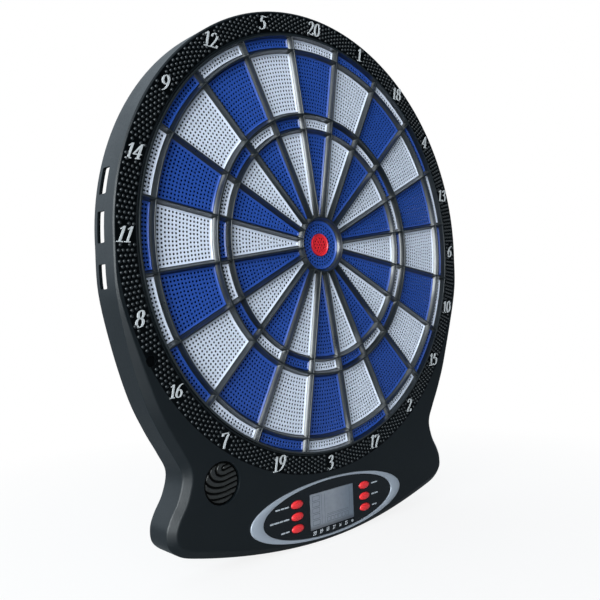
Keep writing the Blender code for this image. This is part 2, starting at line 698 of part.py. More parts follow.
# ---- control panel ------------------------------------------------------------------------------
def control_panel():
    steps = ROUND_STEPS * 2
    centre = (0.0, PANEL_Y)
    trim = [ellipse(TRIM_HALF, centre, steps), ellipse(TRIM_HOLE_HALF, centre, steps)]
    plate("panel_trim_ring", trim, TRIM_LOW, TRIM_TOP, SILVER_PAINT)
    window_hole = rectangle([half + FIT_GAP for half in LCD_HALF], (0.0, LCD_Y))
    button_hole = [half + FIT_GAP for half in BUTTON_HALF]
    holes = [ellipse(button_hole, at, ROUND_STEPS) for _, at in button_places()]
    loops = [ellipse(PANEL_HALF, centre, steps), window_hole, *holes]
    plate("control_panel", loops, PANEL_LOW, PANEL_TOP, PANEL_PLASTIC)
    plate("lcd_window", [rectangle(LCD_HALF, (0.0, LCD_Y))], LCD_WINDOW_LOW, LCD_WINDOW_TOP, LCD_GLASS)
    plate("lcd_module", [rectangle(LCD_MODULE_HALF, (0.0, LCD_Y))], LCD_MODULE_LOW, LCD_MODULE_TOP,
          LCD_FRAME)
    plate("main_board", [rectangle(BOARD_HALF, centre)], BOARD_LOW, BOARD_TOP, CIRCUIT_BOARD)
    for side, sign in (("left", -1), ("right", 1)):
        pad = rectangle(BUTTON_PAD_HALF, (sign * BUTTON_X, BUTTON_ROWS[1]))
        plate(f"button_pad_{side}", [pad], BUTTON_PAD_LOW, BUTTON_PAD_TOP, RUBBER)


def button_places():
    """Name and centre of each button."""
    places = []
    for side, sign in (("left", -1), ("right", 1)):
        for row, y in zip(BUTTON_NAMES, BUTTON_ROWS):
            places.append((f"button_{side}_{row}", (sign * BUTTON_X, y)))
    return places


def buttons():
    """Oval keys: a foot that the panel holds in, a stem, and a domed cap."""
    shape = bmesh.new()
    dome_height = BUTTON_TOP - BUTTON_SHOULDER
    sections = [
        (BUTTON_FOOT_HALF, 1.0, BUTTON_LOW),
        (BUTTON_FOOT_HALF, 1.0, BUTTON_FOOT_TOP),
        (BUTTON_HALF, 1.0, BUTTON_FOOT_TOP),
    ]
    for scale, rise in BUTTON_DOME:
        sections.append((BUTTON_HALF, scale, BUTTON_SHOULDER + dome_height * rise))
    levels = []
    for half, scale, height in sections:
        loop = ellipse([length * scale for length in half], (0.0, 0.0), SMALL_STEPS + 2)
        levels.append(at_height(loop, height))
    add_loft(shape, levels)
    first_name, first_at = button_places()[0]
    first = finish(first_name, shape, RED_PLASTIC, (*first_at, 0.0))
    for name, at in button_places()[1:]:
        place(bpy.data.objects.new(name, first.data), PARTS, (*at, 0.0))


# ---- speaker ------------------------------------------------------------------------------------
def speaker():
    grille = ((0.0, GRILLE_TOP), (GRILLE_R, GRILLE_TOP), (GRILLE_R, GRILLE_FLANGE_TOP),
              (GRILLE_FLANGE_R, GRILLE_FLANGE_TOP), (GRILLE_FLANGE_R, GRILLE_LOW), (0.0, GRILLE_LOW))
    body = turned("speaker_grille", grille, PANEL_PLASTIC, SPEAKER_AT)
    boolean(body, grille_slots(), "DIFFERENCE")
    basket = ((0.0, SPEAKER_TOP), (SPEAKER_R, SPEAKER_TOP), (SPEAKER_R, SPEAKER_RIM_LOW),
              (MAGNET_R, SPEAKER_RIM_LOW - OVERCUT), (MAGNET_R, MAGNET_LOW), (0.0, MAGNET_LOW))
    turned("speaker", basket, STEEL, SPEAKER_AT)


def grille_slots():
    """Wavy slots across the grille. Each one ends inside the grille's rim."""
    margin = GRILLE_R - GRILLE_RIM
    shape = bmesh.new()
    for index in range(GRILLE_WAVES):
        middle = (index - (GRILLE_WAVES - 1) / 2) * GRILLE_PITCH
        reach = math.sqrt(margin ** 2 - (abs(middle) + GRILLE_SLOT) ** 2)
        lower = []
        upper = []
        for i in range(SMALL_STEPS // 2 + 1):
            x = reach * (4 * i / SMALL_STEPS - 1)
            wave = middle + GRILLE_SLOT / 2 * math.sin(math.pi * x / GRILLE_R)
            lower.append((SPEAKER_AT[0] + x, SPEAKER_AT[1] + wave - GRILLE_SLOT / 2))
            upper.append((SPEAKER_AT[0] + x, SPEAKER_AT[1] + wave + GRILLE_SLOT / 2))
        add_prism(shape, lower + upper[::-1], GRILLE_LOW - OVERCUT, GRILLE_TOP + OVERCUT)
    return finish("grille_slots", shape)


# ---- battery bay --------------------------------------------------------------------------------
def battery_cells():
    """Three round cells side by side, lying along X, each turned about its own axis."""
    half = CELL_LENGTH / 2
    body_top = half - CELL_NIPPLE
    profile = ((0.0, half), (CELL_NIPPLE_R, half), (CELL_NIPPLE_R, body_top), (CELL_R, body_top),
               (CELL_R, -half), (0.0, -half))
    middle_x = (BAY_LOW_X + BAY_TOP_X) / 2
    middle_y = (BAY_LOW_Y + BAY_TOP_Y) / 2
    for index in range(3):
        cell = turned(f"battery_{index + 1}", profile, CELL_JACKET, steps=SMALL_STEPS)
        cell.location = (middle_x, middle_y + (1 - index) * CELL_PITCH, CELL_HEIGHT)
        way = 1 if index % 2 else -1
        cell.rotation_euler = (0.0, way * math.pi / 2, 0.0)


def battery_contacts():
    ends = (("left", BAY_LOW_X + FIT_GAP), ("right", BAY_TOP_X - FIT_GAP - CONTACT_THICKNESS))
    for side, low_x in ends:
        shape = bmesh.new()
        low = (low_x, BAY_LOW_Y + OVERCUT, CONTACT_LOW)
        high = (low_x + CONTACT_THICKNESS, BAY_TOP_Y - OVERCUT, CONTACT_TOP)
        add_box(shape, low, high)
        finish(f"battery_contact_{side}", shape, STEEL)


def battery_door():
    """The door's origin is on the tab edge that it swings about."""
    half_width = (BAY_TOP_X - BAY_LOW_X) / 2 - DOOR_GAP
    drop = BAY_TOP_Y - BAY_LOW_Y - DOOR_GAP
    shape = bmesh.new()
    add_box(shape, (-half_width, -drop, 0.0), (half_width, -DOOR_GAP, DOOR_TOP))
    return finish("battery_door", shape, COVER_PLASTIC, ((BAY_LOW_X + BAY_TOP_X) / 2, BAY_TOP_Y, 0.0))


# ---- cables -------------------------------------------------------------------------------------
def ribbon_cable():
    """A flat film that rises from the sensor membrane to the circuit board."""
    start = (MEMBRANE_LOW + MEMBRANE_TOP) / 2
    end = (BOARD_LOW + BOARD_TOP) / 2
    mesh = bpy.data.meshes.new("ribbon_cable")
    shape = bmesh.new()
    rows = []
    for i in range(RIBBON_STEPS + 1):
        along = i / RIBBON_STEPS
        y = RIBBON_TOP_Y + (RIBBON_LOW_Y - RIBBON_TOP_Y) * along
        height = start + (end - start) * smooth_step(along)
        rows.append([shape.verts.new((sx * RIBBON_HALF_WIDTH, y, height)) for sx in (-1, 1)])
    for this, following in zip(rows, rows[1:]):
        shape.faces.new((this[0], following[0], following[1], this[1]))
    shape.to_mesh(mesh)
    shape.free()
    mesh.materials.append(RIBBON_FILM)
    ribbon = place(bpy.data.objects.new("ribbon_cable", mesh), PARTS)
    thickness = ribbon.modifiers.new("Thickness", "SOLIDIFY")
    thickness.thickness = RIBBON_THICKNESS
    thickness.offset = 0.0


def round_cables():
    """Leads from the speaker's magnet and from the battery bay to the two ends of the board."""
    board_end = BOARD_HALF[0] + CABLE_R * 2
    middle = (BOARD_LOW + BOARD_TOP) / 2
    speaker_start = (SPEAKER_AT[0] + MAGNET_R + CABLE_R * 2, SPEAKER_AT[1] - MAGNET_R, MAGNET_LOW)
    runs = (
        ("speaker_cable", speaker_start, SPEAKER_CABLE_BENDS, -board_end),
        ("battery_cable", BATTERY_CABLE_START, BATTERY_CABLE_BENDS, board_end),
    )
    for name, start, bends, end_x in runs:
        end = (end_x, PANEL_Y + CABLE_END_DROP, middle)
        cable(name, (start, *at_height(bends, CABLE_HEIGHT), end), CABLE_R, CABLE_JACKET)


front_housing()
rear_cover()
case_screws()
spider()
segment_columns()
bulls()
sensor_stack()
control_panel()
buttons()
speaker()
battery_cells()
battery_contacts()
battery_door()
ribbon_cable()
round_cables()
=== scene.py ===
"""Looks of the electronic dartboard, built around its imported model.

Pieces are drawn lying on their backs, in board coordinates: X to the thrower's right, Y up the board
and Z out from the wall, so a height is a distance from the wall. STAND then turns them upright, with
the thrower's side on -Y. Sizes are in metres.
"""

import math

import bmesh
import bpy
from mathutils import Matrix, Vector

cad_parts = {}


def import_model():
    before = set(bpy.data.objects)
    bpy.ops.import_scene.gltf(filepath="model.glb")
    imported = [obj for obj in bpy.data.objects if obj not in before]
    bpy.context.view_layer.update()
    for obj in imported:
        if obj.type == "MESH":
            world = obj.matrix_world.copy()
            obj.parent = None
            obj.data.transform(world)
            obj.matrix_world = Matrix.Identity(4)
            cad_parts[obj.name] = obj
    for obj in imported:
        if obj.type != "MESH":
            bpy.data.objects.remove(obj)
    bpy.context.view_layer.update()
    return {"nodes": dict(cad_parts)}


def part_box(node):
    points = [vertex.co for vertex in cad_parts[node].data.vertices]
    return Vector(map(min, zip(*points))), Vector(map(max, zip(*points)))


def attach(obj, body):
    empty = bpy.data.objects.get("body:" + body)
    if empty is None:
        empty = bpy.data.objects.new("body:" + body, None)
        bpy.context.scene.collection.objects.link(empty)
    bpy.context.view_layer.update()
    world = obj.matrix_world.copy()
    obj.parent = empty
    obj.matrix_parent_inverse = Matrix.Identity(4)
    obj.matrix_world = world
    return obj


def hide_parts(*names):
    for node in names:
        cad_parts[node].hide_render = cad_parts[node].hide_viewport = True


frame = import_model()
STAND = Matrix.Rotation(math.pi / 2, 4, "X")
ORIGIN = (0.0, 0.0)


def span(node):
    """Lowest and highest corner of a CAD node in board coordinates."""
    low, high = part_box(node)
    return Vector((low.x, low.z, -high.y)), Vector((high.x, high.z, -low.y))


def depth_of(node):
    low, high = span(node)
    return low.z, high.z


def middle_of(node):
    low, high = span(node)
    return (low.x + high.x) / 2, (low.y + high.y) / 2


def half_of(node):
    low, high = span(node)
    return (high.x - low.x) / 2, (high.y - low.y) / 2


# ---- sizes from the frame
HEAD_R = span("front_housing")[1].x
HOUSING_FRONT = depth_of("front_housing")[1]
BOTTOM_Y = span("front_housing")[0].y
SPIDER_BACK, SPIDER_FRONT = depth_of("spider")
SPIDER_FLANGE_R = span("spider")[1].x
WEB_LOW, SEGMENT_FACE = depth_of("segment_20")
OUTER_BULL_FOOT_R = span("outer_bull")[1].x
INNER_BULL_FOOT_R = span("inner_bull")[1].x
INNER_BULL_FACE = depth_of("inner_bull")[1]
TRIM_BACK, TRIM_FRONT = depth_of("panel_trim_ring")
PANEL_BACK, PANEL_FRONT = depth_of("control_panel")
WINDOW_BACK, WINDOW_FRONT = depth_of("lcd_window")
GRILLE_BACK, GRILLE_FRONT = depth_of("speaker_grille")
DOOR_LATCH_Y = span("battery_door")[0].y
DOOR_INSIDE = depth_of("battery_door")[1]

# ---- scoring face
NUMBERS = (20, 1, 18, 4, 13, 6, 10, 15, 2, 17, 3, 19, 7, 16, 8, 11, 14, 9, 12, 5)
SECTOR = math.tau / len(NUMBERS)
# Each band of pads: name, inner and outer radius, radius of its first row of holes, rows, row pitch.
PAD_BANDS = (
    ("inner_single", 0.0253, 0.0936, 0.0316, 20, 0.0031),
    ("triple", 0.0981, 0.1053, 0.10045, 2, 0.0025),
    ("outer_single", 0.1106, 0.1579, 0.1136, 15, 0.0030),
    ("double", 0.1626, 0.1700, 0.1650, 2, 0.0026),
)
PAD_SIDE_GAP = 0.0024  # from a pad's side to the line between two numbers
PAD_ARC_STEPS = 14
PAD_FOOT = 0.0012  # flange that the spider holds in
WEB_TOP = WEB_LOW + 0.0012
PAD_EDGE = 0.00020
PAD_RIM = 0.00035  # flat top of a pad's raised rim
PAD_STEP_RUN = 0.00075  # the rim's inner slope
PAD_STEP_DROP = 0.0008
HOLE_MARGIN = 0.0048  # from the outermost hole's centre to the line between two numbers
HOLE_PITCH = 0.0030
HOLE_R = 0.00088
HOLE_MOUTH_R = 0.00100
HOLE_MOUTH_DEPTH = 0.00018
HOLE_DEPTH = 0.0034
HOLE_TAPER = 0.8  # a hole's radius at its floor, as a share of HOLE_R
HOLE_STEPS = 8
OUTER_BULL_R = 0.0205
INNER_BULL_R = 0.0093
BULL_GAP = 0.0004
BULL_STEPS = 72
INNER_BULL_STEPS = 48
# Radius and number of each ring of holes, and how far it is turned, in pitches.
BULL_HOLE_RINGS = ((0.0115, 24), (0.0142, 30, 0.5), (0.0169, 36))
INNER_BULL_HOLE_RINGS = ((0.0, 1), (0.0028, 6), (0.0055, 12))
SPIDER_R = 0.1724
WALL_GAP = 0.00035  # from a pad to the spider wall beside it
WALL_SLOPE_GAP = 0.00185  # the walls lean back towards their tops
WALL_TOP_GAP = 0.00212
WALL_TOP_ROUND = 0.0003
WALL_FLARE = 2.0  # how much more they lean at their feet than at their tops
WALL_STEPS = (0.10, 0.22, 0.38, 0.60, 0.80)
WALL_TOP_STEPS = 3
OUTER_WALL_SHARE = 0.5  # the spider's outermost wall leans back less
FLANGE_LOW, FLANGE_TOP = 0.0217, 0.0242
FACE_OPENING_R = 0.1729
FACE_STEPS = 180
CELL_ARC_STEPS = 10

# ---- case outline
HEAD_LOW_Y = -0.0060
FLANK = (
    (0.1892, -0.0380), (0.1806, -0.0770), (0.1694, -0.1124), (0.1578, -0.1367), (0.1485, -0.1528),
    (0.1419, -0.1669), (0.1453, -0.1823), (0.1526, -0.1948), (0.1560, -0.2044), (0.1544, -0.2150),
    (0.1443, -0.2233),
)
BOTTOM_R = 0.5140
BOTTOM_HALF_WIDTH = 0.1280
HEAD_STEPS, SHOULDER_STEPS, FLANK_STEPS, BOTTOM_STEPS = 48, 3, 6, 14
CASE_WALL = 0.0024
COVER_GAP = 0.0004
PLATE_BACK = 0.0245
CHAMFER_HEAD = 0.0010
CHAMFER_BODY = 0.0060
CHAMFER_BOTTOM = 0.0030
CHAMFER_START_Y = -0.0200
CHAMFER_FULL_Y = -0.1100
CHAMFER_SLOPE = 0.75
# The chamfer with its two edges rounded: share of its width, share of its depth below the front.
CHAMFER_PROFILE = ((0.0, 1.15), (0.02, 1.03), (0.07, 0.93), (0.14, 0.85),
                   (0.85, 0.14), (0.93, 0.07), (1.03, 0.02), (1.15, 0.0))
CASE_EDGE = 0.0004

# ---- case details
SLOT_SPANS = ((0.0285, 0.0473), (-0.0046, 0.0169), (-0.0356, -0.0188))
SLOT_LOW, SLOT_TOP = 0.0045, 0.0142
SLOT_INNER_X = 0.1780
SLOT_CORNER = 0.0009
NOTCH_X = 0.1740
NOTCH_SPAN = (-0.0420, 0.0520)
BOSS_RING_R = 0.1830
BOSS_ANGLES = (70, 110, 24, 156, -22, 202)
FOOT_BOSS = (0.1475, -0.2040)
BOSS_R = 0.0036
PILOT_R = 0.0017
PILOT_TOP = 0.0160
PILOT_STEPS, PILOT_MOUTH_STEPS = 16, 32
MOUTH_EDGE = 0.0002
COUNTERBORE_R = 0.0032
COUNTERBORE_TOP = 0.0017

# ---- number band
BUMP_LINES = 320  # radial lines of bumps, every other one shifted outwards
BUMP_RADII = ((0.1756, 0.1790, 0.1824, 0.1858), (0.1773, 0.1807, 0.1841, 0.1873))
BUMP_R = 0.00132
BUMP_HEIGHT = 0.00110
BAND_SPAN = (0.1738, 0.1891)  # the ground between the bumps is in deep shade
BUMP_SIDES, BUMP_STEPS = 12, 4
NUMERAL_R = 0.1818
NUMERAL_HEIGHT = 0.0118
NUMERAL_RISE = 0.0006
NUMERAL_SINK = 0.0001
NUMERAL_CLEAR = (0.0064, 0.0076)  # half size of the plain ground round a number
ONE_DIGIT_CLEAR = 0.75  # share of its width round a single digit
RECESS_AT = (-0.1660, -0.0852)  # a round recess at the band's outer edge, below the 8
RECESS_R = 0.0040
RECESS_DEPTH = 0.0021
RECESS_STEPS = 40

# ---- control panel
PANEL_CENTRE = middle_of("panel_trim_ring")
PANEL_HALF = half_of("control_panel")
TRIM_HALF = half_of("panel_trim_ring")
TRIM_HOLE_HALF = (0.0748, 0.0222)
# The trim ring's face: share of the way in, and depth below its top.
TRIM_PROFILE = ((0.0, 0.0006), (0.02, 0.0002), (0.07, 0.00005), (0.5, 0.0), (0.93, 0.00005),
                (0.98, 0.0002), (1.0, 0.0006))
PANEL_OPENING_HALF = (0.0710, 0.0185)
FIT_GAP = 0.0003
RECESS_FLOOR = 0.0255
OVAL_STEPS = 96
BUTTONS = [f"button_{side}_{row}" for side in ("left", "right") for row in ("top", "middle", "bottom")]
BUTTON_HALF = (0.0065, 0.0032)
BUTTON_STEPS = 40
LCD_CENTRE = middle_of("lcd_window")
LCD_HALF = half_of("lcd_window")
LCD_CORNER = 0.0005
LCD_BEVEL = 0.0004
LCD_SHADE = (0.0012, 0.0040)  # the shade at the display's foot ends this far up
MARK_STROKE, MARK_THIN = 0.00038, 0.0003
# Places and sizes of the marks, in shares of the display's width and height.
MARK_LEFT, MARK_RIGHT, MARK_FOOT, MARK_TOP = 0.37, 0.87, 0.12, 0.94
COLUMN_BOX, COLUMN_SPAN, COLUMN_PITCH = 0.14, (0.05, 0.21), 0.17
FOOT_BOX, FOOT_BOX_TOP, FOOT_PITCH = 0.07, 0.25, 0.086
DIVIDERS_AT, LINES_AT = (0.25, 0.32, 0.90), (0.29, 0.33)
PRINT_RISE = 0.00005  # how far printed marks stand off the panel
BUTTON_FOOT_HALF = (0.0080, 0.0043)
BUTTON_LOW, BUTTON_FOOT_TOP = 0.0224, 0.0254
BUTTON_SHOULDER, BUTTON_TOP = 0.0270, 0.0286
CAP_ANGLE, CAP_STEPS = math.radians(80), 8  # how far the cap's curve turns
CAP_FLAT = 0.25  # the share of the cap's width that stays flat
PANEL_EDGE = 0.0002
SMALL_NUMBER_HEIGHT = 0.0030
SMALL_NUMBERS_X, SMALL_NUMBERS_Y = -0.0215, -0.2354
SMALL_NUMBER_PITCH = 0.0074
BULL_MARK_RADII = (0.0004, 0.0008, 0.0012)
BULL_MARK_STEPS = 20
LABEL_GAP = 0.0026
LABEL_HEIGHT = 0.0012
# Lengths of the dashes beside each button, going away from it, in the order of BUTTONS.
LABEL_DASHES = (
    (0.0042, 0.0036, 0.0050),
    (0.0058, 0.0034, 0.0052, 0.0038),
    (0.0040, 0.0044),
    (0.0038, 0.0032),
    (0.0034, 0.0042),
    (0.0030, 0.0026),
)
LABEL_CORNER, LABEL_SPACE = 0.3, 0.45  # shares of a label's height

# ---- speaker
SPEAKER_AT = middle_of("speaker_grille")
SPEAKER_HOLE_STEPS = 48
GRILLE_FLANGE_R = half_of("speaker_grille")[0]
GRILLE_FLANGE_TOP = 0.0242
GRILLE_R = 0.0155
GRILLE_HOLE_R = 0.0158
GRILLE_RIM = 0.0010  # the groove round the outside of the ridges
GRILLE_PITCH = 0.0039
GRILLE_RIDGE = 0.33  # half width of a ridge, as a share of the pitch
GRILLE_SOFT = 0.10  # width of a ridge's side, as a share of the pitch
GRILLE_GROOVE = 0.0016
GRILLE_FLOOR = GRILLE_FRONT - GRILLE_GROOVE
GRILLE_FADE = 0.0006  # how far the ridges take to fade at their ends
GRILLE_EYE = (0.20, 0.68)  # the ridges turn round this place, in shares of the radius
GRILLE_TURN = 12  # degrees from +X that they leave it at
GRILLE_WAVE = 0.0005
GRILLE_SWAY = (2.2, 0.6)  # turn of the wave across a radius, and at the middle
GRILLE_SWIRL = 0.75  # the turns round the eye are this wide for their height
GRILLE_RINGS = 64
GRILLE_STEPS = 288

# ---- back
COVER_TOP = 0.0026
COVER_EDGE = 0.0004
RIB_RADII = (0.0600, 0.1500)
RIB_THICKNESS = 0.0020
RIB_TOP = 0.0092
RIB_STEPS = 120
BOARD_POST = (0.0580, 0.0120)
BOARD_POST_R = 0.0025
BOARD_POST_TOP = 0.0147
BOARD_POST_STEPS = 24
KEYHOLES = ((-0.0700, 0.1100), (0.0700, 0.1100))
KEYHOLE_R = 0.0046
KEYHOLE_SLOT_R = 0.0023
KEYHOLE_RISE = 0.0120
KEYHOLE_STEPS = (32, 16)
BAY_LOW = (0.0825, -0.2170)
BAY_HIGH = (0.1355, -0.1700)
BAY_WALL = 0.0016
BAY_CORNER = 0.0006
BAY_CEILING = 0.0194
SCREW_HEAD_R, SCREW_SHANK_R = 0.0028, 0.0014
SCREW_HEAD_LOW, SCREW_HEAD_TOP, SCREW_TIP = 0.0002, 0.0014, 0.0150
SCREW_DOME = ((0.55, 0.0), (0.80, 0.0001), (0.94, 0.0004))  # share of the radius, height
SCREW_POINT = 0.2  # radius of its tip, as a share of the shank's
SCREW_TURN = 0.7  # each screw is turned this much further than the last
CROSS_HALF, CROSS_DEPTH = (0.0014, 0.00028), 0.0008
CELL_NIPPLE_R, CELL_NIPPLE = 0.0027, 0.0010
CELL_BAND_WIDTH = 0.0150
# Rounded edges of a cell: distances in from its side and in from its end.
CELL_FOOT_EDGE = ((0.0008, 0.0), (0.0002, 0.0001), (0.0, 0.0005))
CELL_TOP_EDGE = ((0.0, 0.0005), (0.0002, 0.0001), (0.0010, 0.0))
CELL_NIPPLE_EDGE = 0.0002
SCREW_STEPS, CELL_STEPS = 32, 40
DOOR_CORNER, DOOR_EDGE = 0.0008, 0.0003
POCKET_LEVELS = ((0.0, 0.0), (-0.0001, 0.0005))
# Pockets in the door's face: half size, distance from the latch edge, and corner radius.
THUMB_RECESS = ((0.0080, 0.0030), 0.0058, 0.0028)
GRIP_GROOVES = [((0.0110, 0.0005), 0.0125 + 0.0022 * row, 0.0004) for row in range(5)]

OVERCUT = 0.0010  # how far a cutter passes the surface that it cuts
EDGE_BULGE = 0.3  # where a rounded edge's middle lies, as a share of its size


# ---- outlines
def arc(radius, start, end, steps, centre=ORIGIN):
    """Points from one angle to another, both ends included."""
    angles = [start + (end - start) * i / steps for i in range(steps + 1)]
    return [(centre[0] + radius * math.cos(a), centre[1] + radius * math.sin(a)) for a in angles]


def ellipse(half, centre, steps):
    angles = [math.tau * i / steps for i in range(steps)]
    return [(centre[0] + half[0] * math.cos(a), centre[1] + half[1] * math.sin(a)) for a in angles]


def circle(radius, centre, steps):
    return ellipse((radius, radius), centre, steps)


def oval(half, centre, steps):
    """An outline that takes the amount it is grown by."""
    return lambda growth: ellipse((half[0] + growth, half[1] + growth), centre, steps)


def disc(radius, centre, steps):
    return oval((radius, radius), centre, steps)


def rounded_rectangle(half, centre, corner, steps=4):
    def outline(growth):
        radius = corner + growth
        inner = (half[0] - corner, half[1] - corner)
        points = []
        for quarter, (sx, sy) in enumerate(((1, 1), (-1, 1), (-1, -1), (1, -1))):
            middle = (centre[0] + sx * inner[0], centre[1] + sy * inner[1])
            start = quarter * math.pi / 2
            points += arc(radius, start, start + math.pi / 2, steps, middle)
        return points
    return outline


def catmull_rom(points, steps):
    """Smooth curve through all points but the first and last, which only set its direction."""
    curve = []
    for a, b, c, d in zip(points, points[1:], points[2:], points[3:]):
        for i in range(steps):
            t = i / steps
            curve.append(tuple(
                0.5 * (2 * q + (r - p) * t + (2 * p - 5 * q + 4 * r - s) * t ** 2
                       + (3 * q - p - 3 * r + s) * t ** 3)
                for p, q, r, s in zip(a, b, c, d)
            ))
    return curve


def case_outline():
    """Counter-clockwise from the middle of the bottom edge. The left half mirrors the right."""
    end = math.asin(BOTTOM_HALF_WIDTH / BOTTOM_R)
    bottom = arc(BOTTOM_R, -math.pi / 2, -math.pi / 2 + end, BOTTOM_STEPS, (0.0, BOTTOM_Y + BOTTOM_R))
    shoulder = arc(HEAD_R, math.asin(HEAD_LOW_Y / HEAD_R), 0.0, SHOULDER_STEPS)
    head = shoulder[:-1] + arc(HEAD_R, 0.0, math.pi / 2, HEAD_STEPS)
    upward = [bottom[-2], bottom[-1], *reversed(FLANK), head[0], head[1]]
    right = bottom[:-1] + catmull_rom(upward, FLANK_STEPS) + head
    left = [(-x, y) for x, y in reversed(right[1:-1])]
    return right + left


def smooth_step(value):
    value = min(max(value, 0.0), 1.0)
    return value * value * (3 - 2 * value)


def chamfer_width(point):
    """The front chamfer is narrow round the head, wide at the waist and foot, medium at the bottom."""
    x, y = point
    down = smooth_step((CHAMFER_START_Y - y) / (CHAMFER_START_Y - CHAMFER_FULL_Y))
    width = CHAMFER_HEAD + (CHAMFER_BODY - CHAMFER_HEAD) * down
    if y < FLANK[-2][1]:
        across = smooth_step(abs(x) / BOTTOM_HALF_WIDTH)
        width = CHAMFER_BOTTOM + (CHAMFER_BODY - CHAMFER_BOTTOM) * across
    return width


def directions(path, closed=True):
    """Unit direction of a path at each of its points."""
    found = []
    for i in range(len(path)):
        before = path[i - 1] if closed or i else path[0]
        after = path[(i + 1) % len(path)] if closed or i + 1 < len(path) else path[-1]
        step = (after[0] - before[0], after[1] - before[1])
        length = math.hypot(*step)
        found.append((step[0] / length, step[1] / length))
    return found


def move_left(path, ways, distances):
    """Move each point of a path to the left of the way it runs."""
    return [(x - way[1] * d, y + way[0] * d) for (x, y), way, d in zip(path, ways, distances)]


def inset(loop, distances):
    """Move each point of a counter-clockwise loop inwards, by one distance or by a distance each."""
    if isinstance(distances, float):
        distances = [distances] * len(loop)
    return move_left(loop, directions(loop), distances)


def pad_outline(inner, outer, steps=PAD_ARC_STEPS, outer_share=1.0):
    """A pad at three o'clock, as a function of the amount it is grown by."""
    def outline(growth):
        gap = PAD_SIDE_GAP - growth
        near, far = inner - growth, outer + growth * outer_share
        near_half = SECTOR / 2 - math.asin(gap / near)
        far_half = SECTOR / 2 - math.asin(gap / far)
        return arc(far, -far_half, far_half, steps) + arc(near, near_half, -near_half, steps)
    return outline


def turned_outline(outline, angle):
    cos, sin = math.cos(angle), math.sin(angle)
    return lambda growth: [(x * cos - y * sin, x * sin + y * cos) for x, y in outline(growth)]


# ---- mesh building
def ring(shape, loop, heights):
    """Points round a loop, at one height or at a height each."""
    if isinstance(heights, float):
        heights = [heights] * len(loop)
    return [shape.verts.new((x, y, height)) for (x, y), height in zip(loop, heights)]


def pairs_round(points):
    return zip(points, points[1:] + points[:1])


def skin(shape, *rings):
    """Quads between each ring and the next. All have the same number of points."""
    for low, high in zip(rings, rings[1:]):
        for (a, b), (c, d) in zip(pairs_round(low), pairs_round(high)):
            shape.faces.new((a, b, d, c))


def fan(shape, points, tip):
    """Triangles from a ring to a point."""
    top = shape.verts.new(tip)
    for a, b in pairs_round(points):
        shape.faces.new((a, b, top))


def stack(shape, outline, levels):
    """One outline at several heights, grown by its own amount at each, and skinned in order."""
    rings = [ring(shape, outline(growth), height) for growth, height in levels]
    skin(shape, *rings)
    return rings


def fill(shape, *rings):
    """Close the flat region inside the first ring and outside the others."""
    edges = []
    for points in rings:
        edges += [shape.edges.get(pair) or shape.edges.new(pair) for pair in pairs_round(points)]
    bmesh.ops.triangle_fill(shape, use_beauty=True, edges=edges, normal=(0.0, 0.0, 1.0))


def cap(shape, *rings):
    for points in rings:
        shape.faces.new(points)


def add_solid(shape, outline, levels):
    rings = stack(shape, outline, levels)
    cap(shape, rings[0], rings[-1])


def edge_levels(start, face, edge, sign=1):
    """Levels that round off the edge towards a face. The sign is -1 for a hole's edge."""
    step = math.copysign(edge, face - start)
    corner = (-sign * edge * EDGE_BULGE, face - step * EDGE_BULGE)
    return (0.0, start), (0.0, face - step), corner, (-sign * edge, face)


def plate(outline, holes, start, face, edge):
    """A plate with through holes, and with the edges of plate and holes rounded off at its face."""
    shape = bmesh.new()
    contours = [stack(shape, outline, edge_levels(start, face, edge))]
    contours += [stack(shape, hole, edge_levels(start, face, edge, -1)) for hole in holes]
    fill(shape, *(rings[-1] for rings in contours))
    fill(shape, *(rings[0] for rings in contours))
    return shape


def blocks(corners):
    shape = bmesh.new()
    for low, high in corners:
        size = [h - l for l, h in zip(low, high)]
        middle = [(l + h) / 2 for l, h in zip(low, high)]
        matrix = Matrix.Translation(middle) @ Matrix.Diagonal((*size, 1.0))
        bmesh.ops.create_cube(shape, size=1.0, matrix=matrix)
    return shape


def add_cylinder(shape, radius, centre, low, high, steps=24):
    add_solid(shape, disc(radius, centre, steps), ((0.0, low), (0.0, high)))


def cylinders(radius, centres, low, high, steps=24):
    shape = bmesh.new()
    for centre in centres:
        add_cylinder(shape, radius, centre, low, high, steps)
    return shape


def lathe(profile, steps):
    """A closed solid turned about Z from a profile of (radius, height) points on its outer side."""
    shape = bmesh.new()
    add_solid(shape, disc(0.0, ORIGIN, steps), profile)
    return shape


def mesh_from(shape, sharp=32):
    """The mesh of a shape, which is used up. A mesh is passed on as it is."""
    if isinstance(shape, bpy.types.Mesh):
        return shape
    mesh = bpy.data.meshes.new("mesh")
    bmesh.ops.recalc_face_normals(shape, faces=shape.faces)
    shape.to_mesh(mesh)
    shape.free()
    return shaded(mesh, sharp)


def shaded(mesh, sharp=32):
    mesh.shade_smooth()
    mesh.set_sharp_from_angle(angle=math.radians(sharp))
    return mesh


def add_object(name, data):
    obj = bpy.data.objects.new(name, data)
    bpy.context.scene.collection.objects.link(obj)
    return obj


def cut(shape, *steps):
    """A mesh after a list of (operation, tool shape) Booleans."""
    objects = [add_object("body_being_cut", mesh_from(shape))]
    for operation, tool in steps:
        objects.append(add_object("tool", mesh_from(tool)))
        modifier = objects[0].modifiers.new(operation.title(), "BOOLEAN")
        modifier.operation = operation
        modifier.object = objects[-1]
    bpy.context.view_layer.update()
    settled = objects[0].evaluated_get(bpy.context.evaluated_depsgraph_get())
    result = bpy.data.meshes.new_from_object(settled)
    for obj in objects:
        bpy.data.objects.remove(obj, do_unlink=True)
    return shaded(result)


def standing(centre, height):
    return STAND @ Matrix.Translation((*centre, height))


